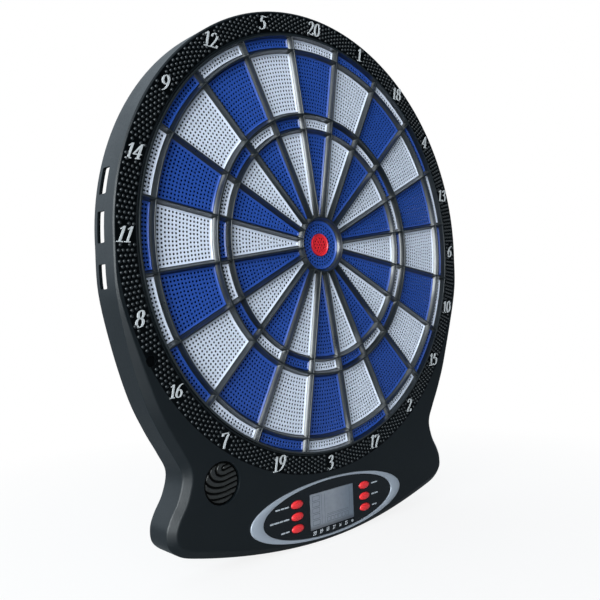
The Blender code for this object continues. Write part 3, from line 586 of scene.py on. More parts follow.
def place(name, shape, material, replaces=(), body="case", at=STAND, flat=False):
    """Show a shape as a piece that moves with a body, in place of CAD nodes.

    With flat, large flat faces are shaded flat, and only their rounded edges turn.
    """
    mesh = mesh_from(shape)
    if not mesh.materials:
        mesh.materials.append(material)
    piece = add_object(name, mesh)
    piece.matrix_world = at
    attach(piece, body)
    if replaces:
        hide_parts(*replaces)
    if flat:
        piece.modifiers.new("Weighted normals", "WEIGHTED_NORMAL").keep_sharp = True


# ---- materials
class Nodes:
    """The node tree of a material or world, with short ways to add to it."""

    def __init__(self, owner):
        owner.use_nodes = True
        self.tree = owner.node_tree

    def feed(self, socket, value):
        if isinstance(value, bpy.types.NodeSocket):
            self.tree.links.new(value, socket)
        elif socket.type == "RGBA":
            socket.default_value = (*value, 1.0)
        else:
            socket.default_value = value

    def add(self, kind, inputs=None, out=0, **settings):
        """Add a node, feed its inputs, and return one of its outputs."""
        node = self.tree.nodes.new("ShaderNode" + kind)
        for name, value in settings.items():
            setattr(node, name, value)
        for name, value in (inputs or {}).items():
            self.feed(node.inputs[name], value)
        return node.outputs[out]

    def math(self, operation, a, b):
        return self.add("Math", {0: a, 1: b}, operation=operation)

    def vectors(self, operation, inputs, out="Vector"):
        return self.add("VectorMath", inputs, out, operation=operation)

    def remap(self, value, low, high, to_low=0.0, to_high=1.0):
        ends = {"From Min": low, "From Max": high, "To Min": to_low, "To Max": to_high}
        return self.add("MapRange", {"Value": value, **ends})

    def mix(self, share, a, b, mode="MIX"):
        return self.add("Mix", {0: share, 6: a, 7: b}, 2, data_type="RGBA", blend_type=mode)

    def noise(self, vector, size, detail=2.0, stretch=None):
        if stretch:
            vector = self.add("Mapping", {"Vector": vector, "Scale": stretch})
        return self.add("TexNoise", {"Vector": vector, "Scale": 1.0 / size, "Detail": detail})

    def place(self):
        """A point in the piece's own frame."""
        return self.add("TexCoord", out="Object")

    def place_along(self, axis):
        return self.add("SeparateXYZ", {0: self.place()}, axis)

    def chance(self):
        """A number from 0 to 1 that each piece has for itself."""
        return self.add("ObjectInfo", out="Random")

    def own_place(self):
        """The piece's own frame, shifted for each piece, so that no two carry the same pattern."""
        shift = self.vectors("SCALE", {0: (7.3, 3.1, 5.7), "Scale": self.chance()})
        return self.vectors("ADD", {0: self.place(), 1: shift})

    def edge_mask(self, radius):
        """1 on worn edges: where the normal of a slightly bevelled surface leaves the true one."""
        bevel = self.add("Bevel", {"Radius": radius}, samples=3)
        true = self.add("NewGeometry", out="Normal")
        dot = self.vectors("DOT_PRODUCT", {0: bevel, 1: true}, "Value")
        return self.remap(dot, 0.985, 0.80)

    def darkened(self, surface, share):
        """A colour with only a share of its light left."""
        grey = self.add("CombineColor", {0: share, 1: share, 2: share})
        return self.mix(1.0, surface, grey, "MULTIPLY")

    def unshaded_share(self, inner, outer):
        """1 away from a shaded band round the bull, and little on it."""
        flat = self.vectors("MULTIPLY", {0: self.place(), 1: (1.0, 1.0, 0.0)})
        radius = self.vectors("LENGTH", {0: flat}, "Value")
        inside = self.math("SUBTRACT", 1.0, self.remap(radius, inner, inner + BAND_FADE))
        outside = self.remap(radius, outer - BAND_FADE, outer)
        away = self.math("MAXIMUM", inside, outside)
        return self.remap(away, 0.0, 1.0, BAND_LIGHT, 1.0)

    def dress(self, inputs, height=None, depth=0.0):
        """Feed the material's shader, with a bump where a height is given."""
        if height:
            inputs["Normal"] = self.add("Bump", {"Strength": 1.0, "Distance": depth, "Height": height})
        for name, value in inputs.items():
            self.feed(self.tree.nodes["Principled BSDF"].inputs[name], value)


def new_material(name):
    material = bpy.data.materials.new(name)
    return material, Nodes(material)


def scaled(colour, share):
    return [min(1.0, channel * share) for channel in colour]


def plastic(name, colour, roughness, grain=0.0004, depth=0.00002, mottle=0.10, worn=None, coat=0.0,
            tone=0.0, specular=0.5, shade_below=None, shade_ring=None):
    """Moulded plastic: fine grain, faint mottling, uneven gloss and lighter worn edges.

    tone is how far pieces of one material differ.
    shade_below gives two heights, and the share of the colour left at the lower one, as in deep holes.
    shade_ring gives the inner and outer radius of a shaded band round the bull.
    """
    material, nodes = new_material(name)
    place_at = nodes.own_place()
    patches = nodes.noise(place_at, 0.030, 3.0)
    specks = nodes.noise(place_at, grain * 2.5, 1.0)
    surface = nodes.mix(patches, scaled(colour, 1.0 - mottle), scaled(colour, 1.0 + mottle))
    if tone:
        surface = nodes.darkened(surface, nodes.remap(nodes.chance(), 0.0, 1.0, 1.0 - tone, 1.0 + tone))
    lit = None
    if shade_ring:
        lit = nodes.unshaded_share(*shade_ring)
    elif shade_below:
        lit = nodes.remap(nodes.place_along("Z"), *shade_below, 1.0)
    if lit:
        surface = nodes.darkened(surface, lit)
        specular = nodes.math("MULTIPLY", lit, specular)
    if worn:
        mask = nodes.math("MULTIPLY", nodes.edge_mask(0.0005), nodes.remap(specks, 0.35, 0.65, 0.3, 1.0))
        surface = nodes.mix(nodes.math("MULTIPLY", mask, WEAR), surface, worn)
    uneven = nodes.math("ADD", nodes.remap(patches, 0.3, 0.7, -0.05, 0.05), roughness)
    uneven = nodes.math("ADD", uneven, nodes.remap(specks, 0.3, 0.7, -0.04, 0.04))
    height = nodes.math("ADD", nodes.noise(place_at, grain), nodes.math("MULTIPLY", patches, 0.4))
    inputs = {"Base Color": surface, "Roughness": uneven, "Specular IOR Level": specular,
              "Coat Weight": coat, "Coat Roughness": 0.12}
    nodes.dress(inputs, height, depth)
    return material


def metal(name, colour, roughness, stretch=(1.0, 1.0, 1.0), metallic=1.0):
    """Metal or metallic paint with fine brushing or flake and uneven gloss."""
    material, nodes = new_material(name)
    place_at = nodes.own_place()
    brushed = nodes.noise(place_at, 0.0004, 3.0, stretch)
    patches = nodes.noise(place_at, 0.012)
    gloss = nodes.remap(patches, 0.3, 0.7, roughness - 0.06, roughness + 0.06)
    surface = nodes.mix(brushed, scaled(colour, 0.86), colour)
    nodes.dress({"Base Color": surface, "Roughness": gloss, "Metallic": metallic}, brushed, 0.00001)
    return material


def fibre_board(name, dark, light):
    material, nodes = new_material(name)
    fibres = nodes.noise(nodes.own_place(), 0.0015, 6.0, (1.0, 0.25, 1.0))
    surface = nodes.mix(nodes.remap(fibres, 0.3, 0.7), dark, light)
    nodes.dress({"Base Color": surface, "Roughness": 0.85}, fibres, 0.00008)
    return material


def circuit_board(name, mask_colour, track_colour):
    """Solder mask over copper tracks."""
    material, nodes = new_material(name)
    waves = {"Vector": nodes.own_place(), "Scale": 160.0, "Distortion": 6.0}
    tracks = nodes.add("TexWave", waves, "Fac")
    raised = nodes.remap(tracks, 0.80, 0.86)
    surface = nodes.mix(raised, mask_colour, track_colour)
    gloss = nodes.remap(tracks, 0.0, 1.0, 0.30, 0.45)
    nodes.dress({"Base Color": surface, "Roughness": gloss}, raised, 0.00004)
    return material


def display_glass(name, colour, right_shade_colour):
    """Grey display behind clear glass, with painted shade: darker towards its right edge and at its foot."""
    material, nodes = new_material(name)
    shade = [LCD_CENTRE[1] - LCD_HALF[1] + up for up in LCD_SHADE]
    # Painted shade: the colour darkens towards the right edge and in a band at the foot.
    across = nodes.remap(nodes.place_along("X"), LCD_CENTRE[0], LCD_CENTRE[0] + LCD_HALF[0])
    above = nodes.remap(nodes.place_along("Y"), *shade, 0.50, 1.0)
    streaks = nodes.remap(nodes.noise(nodes.own_place(), 0.004), 0.3, 0.7, 0.94, 1.06)
    surface = nodes.darkened(nodes.mix(across, colour, right_shade_colour), nodes.math("MULTIPLY", above, streaks))
    nodes.dress({"Base Color": surface, "Roughness": 0.30, "Coat Weight": 1.0, "Coat Roughness": 0.10})
    return material


WEAR = 0.35  # how far a worn edge takes on the worn colour
BAND_FADE = 0.0004
BAND_LIGHT = 0.22  # share of the light left between the bumps
EDGE_GREY = (0.05, 0.06, 0.07)
FIELD = SEGMENT_FACE - PAD_STEP_DROP
HOLE_SHADE = (FIELD - 0.0006, FIELD - 0.00005, 0.05)
GRILLE_SHADE = (GRILLE_FLOOR, GRILLE_FRONT - GRILLE_GROOVE * 0.3, 0.10)

HOUSING = plastic("housing_plastic", (0.0032, 0.0056, 0.0074), 0.40, grain=0.00050, depth=0.000030,
                  worn=EDGE_GREY, shade_ring=BAND_SPAN)
COVER = plastic("cover_plastic", (0.0150, 0.0165, 0.0180), 0.52, grain=0.0009, depth=0.00008,
                worn=(0.05, 0.055, 0.06))
SPIDER = plastic("spider_plastic", (0.0060, 0.0090, 0.0110), 0.34, grain=0.0005, worn=EDGE_GREY,
                 specular=1.0, coat=0.7)
BLUE = plastic("segment_blue", (0.021, 0.077, 0.370), 0.34, mottle=0.08, tone=0.07, coat=0.3,
               shade_below=HOLE_SHADE)
WHITE = plastic("segment_white", (0.700, 0.740, 0.850), 0.40, mottle=0.03, tone=0.03,
                shade_below=HOLE_SHADE)
RED = plastic("bull_red", (0.740, 0.022, 0.035), 0.32, mottle=0.08, shade_below=HOLE_SHADE)
BUTTON = plastic("button_red", (0.860, 0.034, 0.040), 0.24, depth=0.000008, mottle=0.05, coat=0.6)
PANEL = plastic("panel_plastic", (0.0060, 0.0080, 0.0105), 0.20, grain=0.0003, depth=0.000004,
                worn=(0.04, 0.045, 0.05))
SILVER = metal("silver_trim", (0.46, 0.50, 0.57), 0.40, metallic=0.25)
NUMERAL = plastic("numeral_silver", (0.52, 0.53, 0.54), 0.45, mottle=0.06)
LCD_FRAME = plastic("lcd_module", (0.42, 0.44, 0.42), 0.45)
BAND = plastic("band_plastic", (0.0060, 0.0085, 0.0105), 0.36, depth=0.00001, specular=0.6)
GRILLE = plastic("grille_plastic", (0.0170, 0.0172, 0.0160), 0.32, specular=0.9, shade_below=GRILLE_SHADE)
PRINT = plastic("printed_grey", (0.50, 0.53, 0.57), 0.50, mottle=0.15)
PRINT_LIGHT = plastic("printed_light_grey", (0.74, 0.76, 0.80), 0.50)
# The display's second colour is painted shade towards its right edge.
LCD_GLASS = display_glass("lcd_glass", (0.275, 0.290, 0.330), (0.145, 0.175, 0.220))
LCD_INK = plastic("lcd_ink", (0.085, 0.100, 0.130), 0.35)
RUBBER = plastic("rubber", (0.020, 0.020, 0.020), 0.80, grain=0.0008, depth=0.00006)
FILM = plastic("sensor_film", (0.50, 0.52, 0.48), 0.28, depth=0.000008)
HARDBOARD = fibre_board("hardboard", (0.120, 0.065, 0.032), (0.300, 0.185, 0.100))
CIRCUIT = circuit_board("circuit_board", (0.012, 0.120, 0.045), (0.030, 0.230, 0.090))
STEEL = metal("steel", (0.56, 0.57, 0.58), 0.30, stretch=(1.0, 1.0, 0.2))
CELL = metal("cell_jacket", (0.20, 0.23, 0.28), 0.32, metallic=0.8)
CELL_BAND = metal("cell_band", (0.55, 0.30, 0.14), 0.34, metallic=0.8)
CABLE = plastic("cable_jacket", (0.300, 0.022, 0.022), 0.50)
RIBBON = plastic("ribbon_film", (0.45, 0.43, 0.37), 0.35)


# ---- pads, bulls and spider
def add_hole(shape, centre, height):
    """A blind hole with a countersunk mouth. Returns the ring of its mouth."""
    levels = (
        (HOLE_MOUTH_R, height),
        (HOLE_R, height - HOLE_MOUTH_DEPTH),
        (HOLE_R * HOLE_TAPER, height - HOLE_DEPTH),
    )
    rings = stack(shape, disc(0.0, centre, HOLE_STEPS), levels)
    cap(shape, rings[-1])
    return rings[0]


def hole_centres(first_row, rows, pitch):
    """Rows of holes along arcs, evenly spread between the two sides of a pad at three o'clock."""
    centres = []
    for row in range(rows):
        radius = first_row + row * pitch
        half = SECTOR / 2 - math.asin(HOLE_MARGIN / radius)
        count = round(2 * half * radius / HOLE_PITCH)
        centres += arc(radius, -half, half, count) if count else [(radius, 0.0)]
    return centres


def ring_of_centres(radius, count, shift=0.0):
    turns = [math.tau * (i + shift) / count for i in range(count)]
    return [(radius * math.cos(turn), radius * math.sin(turn)) for turn in turns]


def face_levels(face, foot=PAD_FOOT, rim=PAD_RIM):
    """From a piece's foot over its rounded edge and smooth rim, down to its field of holes."""
    return (
        (foot, WEB_LOW),
        (foot, WEB_TOP),
        *edge_levels(WEB_TOP, face, PAD_EDGE),
        (-rim, face),
        (-rim - PAD_STEP_RUN, face - PAD_STEP_DROP),
    )


def perforate(shape, height, centres, *edges):
    """Fill a flat face within its edges, with a hole at each centre."""
    fill(shape, *edges, *[add_hole(shape, centre, height) for centre in centres])


def pad(inner, outer, *rows):
    shape = bmesh.new()
    rings = stack(shape, pad_outline(inner, outer), face_levels(SEGMENT_FACE))
    fill(shape, rings[0])
    perforate(shape, FIELD, hole_centres(*rows), rings[-1])
    return mesh_from(shape)


def scoring_pads():
    """Four pads for each number, clockwise from the top. The first stands for the CAD's column."""
    meshes = {(band, material): pad(*sizes) for band, *sizes in PAD_BANDS for material in (BLUE, WHITE)}
    for index, number in enumerate(NUMBERS):
        node = f"segment_{number:02d}"
        turn = STAND @ Matrix.Rotation(math.pi / 2 - index * SECTOR, 4, "Z")
        for order, (band, *_) in enumerate(PAD_BANDS):
            material = WHITE if (index + order) % 2 else BLUE
            replaced = () if order else (node,)
            place(f"pad_{number:02d}_{band}", meshes[band, material], material, replaced, node, turn)


def bull_holes(hole_rings):
    return [centre for hole_ring in hole_rings for centre in ring_of_centres(*hole_ring)]


def outer_bull():
    shape = bmesh.new()
    bore = INNER_BULL_R + BULL_GAP
    counterbore = INNER_BULL_FOOT_R + BULL_GAP
    shoulder = WEB_TOP + OVERCUT + BULL_GAP
    wide = face_levels(SEGMENT_FACE, OUTER_BULL_FOOT_R - OUTER_BULL_R, PAD_RIM * 2)
    narrow = (
        (counterbore - bore, WEB_LOW),
        (counterbore - bore, shoulder),
        (0.0, shoulder),
        (0.0, FIELD - PAD_EDGE),
        (PAD_EDGE, FIELD),
    )
    outside = stack(shape, disc(OUTER_BULL_R, ORIGIN, BULL_STEPS), wide)
    inside = stack(shape, disc(bore, ORIGIN, BULL_STEPS), narrow)
    skin(shape, outside[0], inside[0])
    perforate(shape, FIELD, bull_holes(BULL_HOLE_RINGS), outside[-1], inside[-1])
    place("outer_bull_pad", shape, BLUE, ("outer_bull",), "outer_bull")


def inner_bull():
    shape = bmesh.new()
    levels = face_levels(INNER_BULL_FACE, INNER_BULL_FOOT_R - INNER_BULL_R)
    rings = stack(shape, disc(INNER_BULL_R, ORIGIN, INNER_BULL_STEPS), levels)
    fill(shape, rings[0])
    perforate(shape, INNER_BULL_FACE - PAD_STEP_DROP, bull_holes(INNER_BULL_HOLE_RINGS), rings[-1])
    place("inner_bull_pad", shape, RED, ("inner_bull",), "inner_bull")


def wall_levels():
    """Growth of a spider cell from its back to the rounded tops of the walls round it."""
    foot = SEGMENT_FACE - PAD_EDGE
    head = SPIDER_FRONT - WALL_TOP_ROUND
    levels = [(WALL_GAP, SPIDER_BACK), (WALL_GAP, foot)]
    for share in WALL_STEPS:
        flare = 1 - (1 - share) ** WALL_FLARE
        levels.append((WALL_GAP + (WALL_SLOPE_GAP - WALL_GAP) * flare, foot + (head - foot) * share))
    for step in range(WALL_TOP_STEPS + 1):
        angle = math.pi / 2 * step / WALL_TOP_STEPS
        growth = WALL_SLOPE_GAP + (WALL_TOP_GAP - WALL_SLOPE_GAP) * (1 - math.cos(angle))
        levels.append((growth, SPIDER_FRONT - WALL_TOP_ROUND * (1 - math.sin(angle))))
    return levels


def spider_cells():
    """Outlines of the cells: one for the bulls and one for each pad."""
    cells = [disc(OUTER_BULL_R, ORIGIN, BULL_STEPS)]
    for index in range(len(NUMBERS)):
        for band, inner, outer, *_ in PAD_BANDS:
            share = OUTER_WALL_SHARE if band == "double" else 1.0
            cells.append(turned_outline(pad_outline(inner, outer, CELL_ARC_STEPS, share), index * SECTOR))
    return cells


def spider():
    """Round frame with a cell for each pad and one for the bulls, and a flange behind the case."""
    shape = bmesh.new()
    flange = SPIDER_FLANGE_R - SPIDER_R
    outside = (
        (0.0, SPIDER_BACK),
        (0.0, FLANGE_LOW),
        (flange, FLANGE_LOW),
        (flange, FLANGE_TOP),
        *edge_levels(FLANGE_TOP, SPIDER_FRONT, WALL_TOP_ROUND),
    )
    walls = [stack(shape, disc(SPIDER_R, ORIGIN, FACE_STEPS), outside)]
    walls += [stack(shape, cell, wall_levels()) for cell in spider_cells()]
    fill(shape, *(rings[-1] for rings in walls))
    fill(shape, *(rings[0] for rings in walls))
    place("spider_frame", shape, SPIDER, ("spider",), flat=True)


# ---- case
def boss_centres():
    centres = [arc(BOSS_RING_R, math.radians(a), math.radians(a), 1)[0] for a in BOSS_ANGLES]
    return centres + [FOOT_BOSS, (-FOOT_BOSS[0], FOOT_BOSS[1])]


def housing_shell():
    """Skin, front plate with its openings, inner skin, and the rim that meets the wall."""
    rim = case_outline()
    widths = [chamfer_width(point) for point in rim]
    depths = [width * CHAMFER_SLOPE for width in widths]
    shape = bmesh.new()
    outer = [ring(shape, inset(rim, CASE_EDGE), 0.0), ring(shape, rim, CASE_EDGE)]
    for across, down in CHAMFER_PROFILE:
        loop = inset(rim, [width * across for width in widths])
        outer.append(ring(shape, loop, [HOUSING_FRONT - depth * down for depth in depths]))
    skin(shape, *outer)
    wall = inset(rim, CASE_WALL)
    wall_front = inset(rim, [CASE_WALL + width for width in widths])
    inner = [
        ring(shape, wall, 0.0),
        ring(shape, wall, [PLATE_BACK - depth for depth in depths]),
        ring(shape, wall_front, PLATE_BACK),
    ]
    skin(shape, *inner)
    skin(shape, outer[0], inner[0])
    openings = [stack(shape, outline, levels) for outline, levels in housing_openings()]
    fill(shape, outer[-1], *(rings[0] for rings in openings))
    fill(shape, inner[-1], *(rings[-1] for rings in openings))
    return shape


def housing_openings():
    """Outline and levels of each opening, from the front of the plate to its back."""
    through = edge_levels(PLATE_BACK, HOUSING_FRONT, CASE_EDGE * 0.75, -1)[::-1]
    recess_half = [half + FIT_GAP for half in TRIM_HALF]
    steps_in = [hole - half for hole, half in zip(PANEL_OPENING_HALF, recess_half)]

    def recess(growth):
        """Growth past the recess's edge, or a share of the way in to the smaller opening."""
        half = [length + (growth if growth >= 0.0 else step * -growth)
                for length, step in zip(recess_half, steps_in)]
        return ellipse(half, PANEL_CENTRE, OVAL_STEPS)

    panel = (*through[:3], (0.0, RECESS_FLOOR), (-1.0, RECESS_FLOOR), (-1.0, PLATE_BACK))
    return (
        (disc(FACE_OPENING_R, ORIGIN, FACE_STEPS), through),
        (disc(GRILLE_HOLE_R, SPEAKER_AT, SPEAKER_HOLE_STEPS), through),
        (recess, panel),
    )


def slots():
    """Cutter for the rounded slots through both side walls."""
    shape = bmesh.new()
    for low, high in SLOT_SPANS:
        half = ((high - low) / 2, (SLOT_TOP - SLOT_LOW) / 2)
        outline = rounded_rectangle(half, ((low + high) / 2, (SLOT_LOW + SLOT_TOP) / 2), SLOT_CORNER)
        for side in (-1, 1):
            ends = (side * SLOT_INNER_X, side * (HEAD_R + OVERCUT))
            rings = [[shape.verts.new((x, y, height)) for y, height in outline(0.0)] for x in ends]
            skin(shape, *rings)
            cap(shape, *rings)
    return shape


def front_housing():
    recess = cylinders(RECESS_R, [RECESS_AT], HOUSING_FRONT - RECESS_DEPTH, HOUSING_FRONT + OVERCUT,
                       RECESS_STEPS)
    bosses = cylinders(BOSS_R, boss_centres(), COVER_TOP + FIT_GAP, PLATE_BACK + OVERCUT)
    pilots = cylinders(PILOT_R, boss_centres(), 0.0, PILOT_TOP, PILOT_STEPS)
    mesh = cut(housing_shell(), ("DIFFERENCE", slots()), ("DIFFERENCE", recess), ("UNION", bosses),
               ("DIFFERENCE", pilots))
    place("front_housing_shell", mesh, HOUSING, ("front_housing",), flat=True)


# ---- number band
def numeral_centres():
    centres = {}
    for index, number in enumerate(NUMBERS):
        angle = math.pi / 2 - index * SECTOR
        centres[number] = (NUMERAL_R * math.cos(angle), NUMERAL_R * math.sin(angle))
    return centres


def clear_of_details(point):
    """Whether a bump at this point stays off the numerals and the recess."""
    if math.dist(point, RECESS_AT) < RECESS_R + BUMP_R:
        return False
    for number, centre in numeral_centres().items():
        wide = NUMERAL_CLEAR[0] * (1.0 if number > 9 else ONE_DIGIT_CLEAR)
        if math.hypot((point[0] - centre[0]) / wide, (point[1] - centre[1]) / NUMERAL_CLEAR[1]) < 1.0:
            return False
    return True


def add_bump(shape, centre):
    """A low glossy dome standing on the front plate."""
    angles = [math.pi / 2 * step / BUMP_STEPS for step in range(BUMP_STEPS)]
    levels = [(BUMP_R * math.cos(angle), HOUSING_FRONT + BUMP_HEIGHT * math.sin(angle)) for angle in angles]
    rings = stack(shape, disc(0.0, centre, BUMP_SIDES), levels)
    cap(shape, rings[0])
    fan(shape, rings[-1], (*centre, HOUSING_FRONT + BUMP_HEIGHT))


def number_band():
    shape = bmesh.new()
    for parity, radii in enumerate(BUMP_RADII):
        for radius in radii:
            for centre in ring_of_centres(radius, BUMP_LINES // 2, 0.5 * parity):
                if clear_of_details(centre):
                    add_bump(shape, centre)
    place("number_band_bumps", mesh_from(shape, 60), BAND)


# ---- digits
# Pen strokes of each digit, in a cell one unit tall. A stroke is a smooth curve through its points,
# or a closed loop given as ("loop", centre, half size).
DIGITS = {
    "0": (("loop", (0.27, 0.50), (0.195, 0.455)),),
    "1": (((0.25, 0.03), (0.25, 0.95)), ((0.08, 0.80), (0.25, 0.95)), ((0.08, 0.03), (0.42, 0.03))),
    "2": (((0.07, 0.74), (0.13, 0.90), (0.27, 0.96), (0.41, 0.87), (0.42, 0.70), (0.33, 0.48),
           (0.19, 0.25), (0.06, 0.05)), ((0.05, 0.05), (0.48, 0.05)), ((0.46, 0.05), (0.50, 0.18))),
    "3": (((0.07, 0.80), (0.15, 0.93), (0.28, 0.95), (0.39, 0.85), (0.37, 0.68), (0.27, 0.57), (0.18, 0.54)),
          ((0.18, 0.54), (0.33, 0.51), (0.44, 0.39), (0.44, 0.20), (0.33, 0.06), (0.18, 0.03), (0.05, 0.12))),
    "4": (((0.38, 0.95), (0.04, 0.30)), ((0.04, 0.30), (0.52, 0.30)), ((0.37, 0.95), (0.37, 0.03)),
          ((0.24, 0.03), (0.50, 0.03))),
    "5": (((0.17, 0.92), (0.46, 0.92)), ((0.17, 0.93), (0.12, 0.55)),
          ((0.12, 0.55), (0.25, 0.59), (0.38, 0.53), (0.44, 0.35), (0.39, 0.15), (0.26, 0.04), (0.13, 0.03),
           (0.04, 0.11))),
    "6": (((0.45, 0.96), (0.30, 0.87), (0.16, 0.66), (0.09, 0.38)),
          ("loop", (0.27, 0.29), (0.185, 0.26))),
    "7": (((0.05, 0.92), (0.48, 0.92)), ((0.05, 0.93), (0.04, 0.78)),
          ((0.47, 0.93), (0.34, 0.64), (0.25, 0.36), (0.21, 0.03))),
    "8": (("loop", (0.27, 0.735), (0.150, 0.225)), ("loop", (0.27, 0.275), (0.190, 0.250))),
    "9": (((0.09, 0.04), (0.24, 0.13), (0.38, 0.34), (0.45, 0.62)),
          ("loop", (0.27, 0.71), (0.185, 0.26))),
}
DIGIT_ADVANCE = {"1": 0.50}
DIGIT_WIDTH = 0.62
DIGIT_STRETCH = 1.12  # the pen strokes are drawn a little narrower than the digits
NIB = (0.070, 0.029)  # half length and half thickness of the pen's nib
NIB_ANGLE = math.radians(14)
STROKE_END = 0.5  # how far a stroke runs past its last point, in half thicknesses of the nib
SLANT = 0.20
# These numbers lean more than the rest, and these are smaller.
MORE_SLANT = {11: 0.20, 14: 0.20}
NUMBER_SCALE = {16: 0.82, 11: 0.94, 14: 0.94}
STROKE_STEPS = 7
LOOP_STEPS = 36
EDGE_SHARE = 0.22  # part of a thin stroke's half width that its chamfer takes


def nib_reach(along, trim):
    """Half width of a stroke that runs in a direction, less a trim."""
    cos, sin = math.cos(NIB_ANGLE), math.sin(NIB_ANGLE)
    main = NIB[0] * (along[0] * sin - along[1] * cos)
    minor = NIB[1] * (along[0] * cos + along[1] * sin)
    return math.hypot(main, minor) - trim


def stroke_path(stroke):
    """The points of a stroke, and whether it closes on itself."""
    if stroke[0] == "loop":
        return ellipse(stroke[2], stroke[1], LOOP_STEPS), True
    if len(stroke) == 2:
        return list(stroke), False
    first = tuple(2 * a - b for a, b in zip(stroke[0], stroke[1]))
    last = tuple(2 * a - b for a, b in zip(stroke[-1], stroke[-2]))
    return catmull_rom((first, *stroke, last), STROKE_STEPS) + [stroke[-1]], False


def stroke_side(shape, path, along, closed, side, height, rise):
    """Rings of points up one side of a chamfered stroke, slanted, in metres."""
    trim = NIB[1] * EDGE_SHARE
    rings = []
    for cut_back, level in ((0.0, 0.0), (0.0, rise - trim * height), (trim, rise)):
        points = move_left(path, along, [nib_reach(way, cut_back) * side for way in along])
        if not closed:
            shift = cut_back - NIB[1] * STROKE_END
            for end, way in ((0, shift), (-1, -shift)):
                points[end] = tuple(p + a * way for p, a in zip(points[end], along[end]))
        slanted = [((x * DIGIT_STRETCH + SLANT * y) * height, y * height) for x, y in points]
        rings.append(ring(shape, slanted, level))
    return rings


def stroke_shape(stroke, height, rise):
    path, closed = stroke_path(stroke)
    along = directions(path, closed)
    shape = bmesh.new()
    left, right = (stroke_side(shape, path, along, closed, side, height, rise) for side in (1, -1))
    if closed:
        skin(shape, *left)
        skin(shape, *right)
        skin(shape, left[0], right[0])
        skin(shape, left[-1], right[-1])
        return shape
    loops = [one + other[::-1] for one, other in zip(left, right)]
    skin(shape, *loops)
    for loop in (loops[0], loops[-1]):
        for i in range(len(loop) // 2 - 1):
            shape.faces.new((loop[i], loop[i + 1], loop[-2 - i], loop[-1 - i]))
    return shape


def digit_meshes(digits, height, rise):
    meshes = {}
    for digit in digits:
        first, *others = [stroke_shape(stroke, height, rise) for stroke in DIGITS[digit]]
        meshes[digit] = cut(first, *[("UNION", other) for other in others]) if others else mesh_from(first)
    return meshes


def number_shape(number, digits, height):
    """The digits of a number side by side, centred on the origin."""
    advances = [DIGIT_ADVANCE.get(digit, DIGIT_WIDTH) for digit in str(number)]
    x = -(sum(advances) + SLANT) / 2
    shape = bmesh.new()
    for digit, advance in zip(str(number), advances):
        start = len(shape.verts)
        shape.from_mesh(digits[digit])
        shape.verts.ensure_lookup_table()
        shift = Vector((x * height, -height / 2, 0.0))
        bmesh.ops.translate(shape, verts=shape.verts[start:], vec=shift)
        x += advance
    for vertex in shape.verts:
        vertex.co.x += vertex.co.y * MORE_SLANT.get(number, 0.0)
        vertex.co.xy *= NUMBER_SCALE.get(number, 1.0)
    return shape


def numerals():
    digits = digit_meshes(DIGITS, NUMERAL_HEIGHT, NUMERAL_RISE + NUMERAL_SINK)
    for number, centre in numeral_centres().items():
        place(f"numeral_{number:02d}", number_shape(number, digits, NUMERAL_HEIGHT), NUMERAL,
              at=standing(centre, HOUSING_FRONT - NUMERAL_SINK))


# ---- control panel
def trim_ring():
    """Silver oval ring, broad at its ends and narrow above and below, almost flat."""
    def outline(share):
        half = [outer + (inner - outer) * share for outer, inner in zip(TRIM_HALF, TRIM_HOLE_HALF)]
        return ellipse(half, PANEL_CENTRE, OVAL_STEPS * 2)

    shape = bmesh.new()
    section = [(share, TRIM_FRONT - drop) for share, drop in TRIM_PROFILE]
    rings = stack(shape, outline, [(0.0, TRIM_BACK), *section, (1.0, TRIM_BACK)])
    skin(shape, rings[-1], rings[0])
    place("trim_ring", shape, SILVER, ("panel_trim_ring",))


def panel_plate():
    window = rounded_rectangle([half + FIT_GAP for half in LCD_HALF], LCD_CENTRE, LCD_CORNER)
    button_hole = [half + FIT_GAP for half in BUTTON_HALF]
    holes = [oval(button_hole, middle_of(node), BUTTON_STEPS) for node in BUTTONS]
    outline = oval(PANEL_HALF, PANEL_CENTRE, OVAL_STEPS * 2)
    shape = plate(outline, [window, *holes], PANEL_BACK, PANEL_FRONT, PANEL_EDGE)
    place("panel_plate", shape, PANEL, ("control_panel",), flat=True)


def buttons():
    """Oval keys: a foot behind the panel, a stem and a domed cap."""
    levels = [(BUTTON_FOOT_HALF, BUTTON_LOW), (BUTTON_FOOT_HALF, BUTTON_FOOT_TOP),
              (BUTTON_HALF, BUTTON_FOOT_TOP)]
    for step in range(CAP_STEPS + 1):
        angle = CAP_ANGLE * step / CAP_STEPS
        half = [length * (CAP_FLAT + (1 - CAP_FLAT) * math.cos(angle)) for length in BUTTON_HALF]
        levels.append((half, BUTTON_SHOULDER + (BUTTON_TOP - BUTTON_SHOULDER) * math.sin(angle)))
    shape = bmesh.new()
    rings = stack(shape, lambda half: ellipse(half, ORIGIN, BUTTON_STEPS), levels)
    fill(shape, rings[0])
    fill(shape, rings[-1])
    mesh = mesh_from(shape)
    for node in BUTTONS:
        place(f"{node}_key", mesh, BUTTON, (node,), node, standing(middle_of(node), 0.0))


def lcd():
    """Glass window with a bevelled edge, and the faint marks of a display that is switched off."""
    outline = rounded_rectangle(LCD_HALF, LCD_CENTRE, LCD_CORNER)
    shape = plate(outline, (), WINDOW_BACK, WINDOW_FRONT, LCD_BEVEL)
    place("lcd_glass_window", shape, LCD_GLASS, ("lcd_window",), flat=True)
    low, high = WINDOW_FRONT - PRINT_RISE, WINDOW_FRONT + PRINT_RISE * 0.3
    place("lcd_marks", blocks(((*near, low), (*far, high)) for near, far in display_marks()), LCD_INK)


def on_display(across, up):
    """A point of the display, in shares of its width and height from its lower left corner."""
    return tuple(middle + half * (share * 2 - 1)
                 for middle, half, share in zip(LCD_CENTRE, LCD_HALF, (across, up)))


